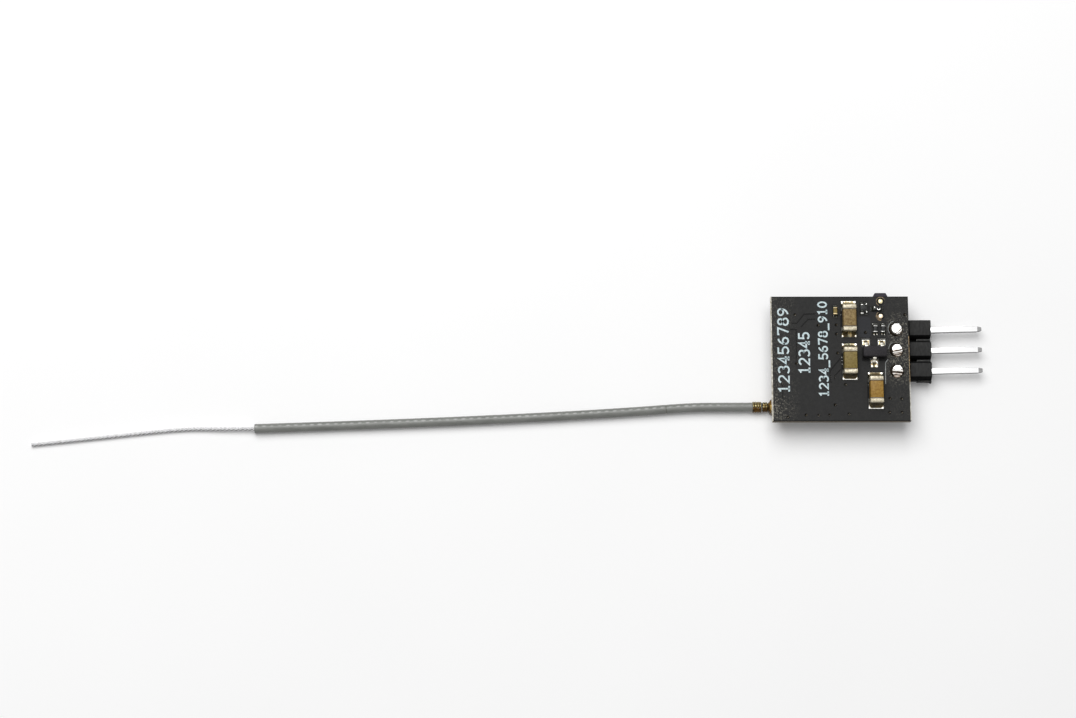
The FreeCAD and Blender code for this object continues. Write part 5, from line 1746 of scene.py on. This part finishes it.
# %% [markdown]
# The lead is one fixed length of cable that leaves the plug and lies loose on the table.

print("cable declared from", CABLE_ROUTE[0])

# %% [markdown]
# ## Light
# The photograph is a plain studio shot: a large soft lamp above and behind the part, and white all
# round. The lamp is high, so the shadow falls a short way in front and to the right. The floor's own
# colour is a pale grey. The camera, and anything that mirrors the floor, sees it with a little light
# of its own added, which turns it white and still keeps the shadow. Farther than half a metre away,
# where the lamp no longer reaches, it is simply white, so that low views have the same background.

# %% Stage, lights and world
FLOOR_HALF = 1.5
FLOOR_DROP = 0.02
FLOOR_GLOW = 0.085
KEY_POWER = 2.3
KEY_SIZE = 420
KEY_PLACE = (-110, 200, 430)
KEY_AIM = (-35, 0, 0)
SKY_LIGHT = 0.25
corners = [(-FLOOR_HALF, -FLOOR_HALF, 0), (FLOOR_HALF, -FLOOR_HALF, 0), (FLOOR_HALF, FLOOR_HALF, 0),
           (-FLOOR_HALF, FLOOR_HALF, 0)]
floor_mesh = bpy.data.meshes.new("floor")
floor_mesh.from_pydata(corners, [], [(0, 1, 2, 3)])
floor = put_in_scene("floor", floor_mesh)
floor.location.z = -FLOOR_DROP * MM


def background_rays(tree):
    """1 for rays from the camera, from mirrors and through glass, 0 for light on the object."""
    path = add_node(tree, "ShaderNodeLightPath")
    direct = add_math(tree, "MAXIMUM", path.outputs["Is Camera Ray"], path.outputs["Is Glossy Ray"])
    return add_math(tree, "MAXIMUM", direct, path.outputs["Is Transmission Ray"])


def either(tree, factor, first, second):
    """The first shader where the factor is 0, and the second where it is 1."""
    return add_node(tree, "ShaderNodeMixShader", {0: factor, 1: first, 2: second}).outputs[0]


floor_material, tree, shader = new_material("floor_white")
mottle = add_noise(tree, place_vector(tree), 0.02, 2.0)
fill(tree, shader, {"Base Color": add_ramp(tree, mottle, (0.3, 0.91), (0.7, 0.93)), "Roughness": 0.9,
                    "Specular IOR Level": 0.1})
glow = add_node(tree, "ShaderNodeEmission", {"Strength": FLOOR_GLOW})
lit = add_node(tree, "ShaderNodeAddShader", {0: shader.outputs[0], 1: glow.outputs[0]})
reach = add_node(tree, "ShaderNodeVectorMath", {0: place_vector(tree)}, operation="LENGTH")
far_share = add_ramp(tree, add_math(tree, "MULTIPLY", reach.outputs["Value"], MM), (0.16, 0.0), (0.5, 1.0))
far_white = add_node(tree, "ShaderNodeEmission")
distant = either(tree, far_share, lit.outputs[0], far_white.outputs[0])
seen = either(tree, background_rays(tree), shader.outputs[0], distant)
fill(tree, tree.nodes["Material Output"], {"Surface": seen})
floor_mesh.materials.append(floor_material)

key_data = bpy.data.lights.new("key", "AREA")
key_data.size = KEY_SIZE * MM
key_data.energy = KEY_POWER
key = put_in_scene("key", key_data)
key.location = Vector(KEY_PLACE) * MM
key.rotation_euler = (Vector(KEY_AIM) - Vector(KEY_PLACE)).to_track_quat("-Z", "Y").to_euler()

world = bpy.data.worlds.new("world")
bpy.context.scene.world = world
world.use_nodes = True
tree = world.node_tree
sky = tree.nodes["Background"]
fill(tree, sky, {"Color": 1.0, "Strength": SKY_LIGHT})
white = add_node(tree, "ShaderNodeBackground", {"Color": 1.0})
seen = either(tree, background_rays(tree), sky.outputs[0], white.outputs[0])
fill(tree, tree.nodes["World Output"], {"Surface": seen})
bpy.context.scene.view_settings.view_transform = "Standard"
print("stage set")

# %% [markdown]
# ## Finishes on the solids that stay
# Solids whose shape is right keep it. Each gets its finish, and its edges are softened with a bevel,
# because no moulded, stamped or fired edge is perfectly sharp.

# %% Finish and soften the solids
CARRIED = {
    "circuit_board": mask_low_shade,
    "bind_button": button_nylon,
    "switch_base": switch_black, "switch_cover": steel, "switch_dome": steel, "switch_contacts": tin_copper,
    "copper_pads_top": tin_dim, "copper_pads_bottom": gold,
    "plug_insulator": polymer, "plug_contact": gold, "cable_core_end": polymer,
    "antenna_socket_base": polymer, "antenna_socket_shell": gold, "antenna_socket_pin": gold,
    "radio_chip_body": epoxy, "radio_chip_pads": tin_copper,
    "processor_body": epoxy, "processor_pads": tin_copper,
    "crystal_base": alumina, "crystal_lid": steel,
    "status_led_base": alumina, "status_led_lens": lens,
    "matching_part_bodies": overglaze, "decoupling_capacitor_bodies": ceramic_brown,
    "underside_chip_terminals": tin_plate,
}
EDGE_SOFTENING = {
    "bind_button": 0.06, "radio_chip_body": 0.03, "processor_body": 0.03,
    "switch_base": 0.03, "switch_cover": 0.02, "crystal_lid": 0.02, "underside_chip_terminals": 0.03,
    "circuit_board": 0.02, "decoupling_capacitor_bodies": 0.02, "matching_part_bodies": 0.02,
}
for name, material in CARRIED.items():
    node = nodes[name]
    node.data.materials.clear()
    node.data.materials.append(material)
    if name in EDGE_SOFTENING:
        weld = node.modifiers.new("weld", "WELD")
        weld.merge_threshold = 0.0000005
        bevel = node.modifiers.new("soft_edges", "BEVEL")
        bevel.width = EDGE_SOFTENING[name] * MM
        bevel.segments = 2
        bevel.limit_method = "ANGLE"
        bevel.angle_limit = math.radians(30)
print("finished solids", len(CARRIED))
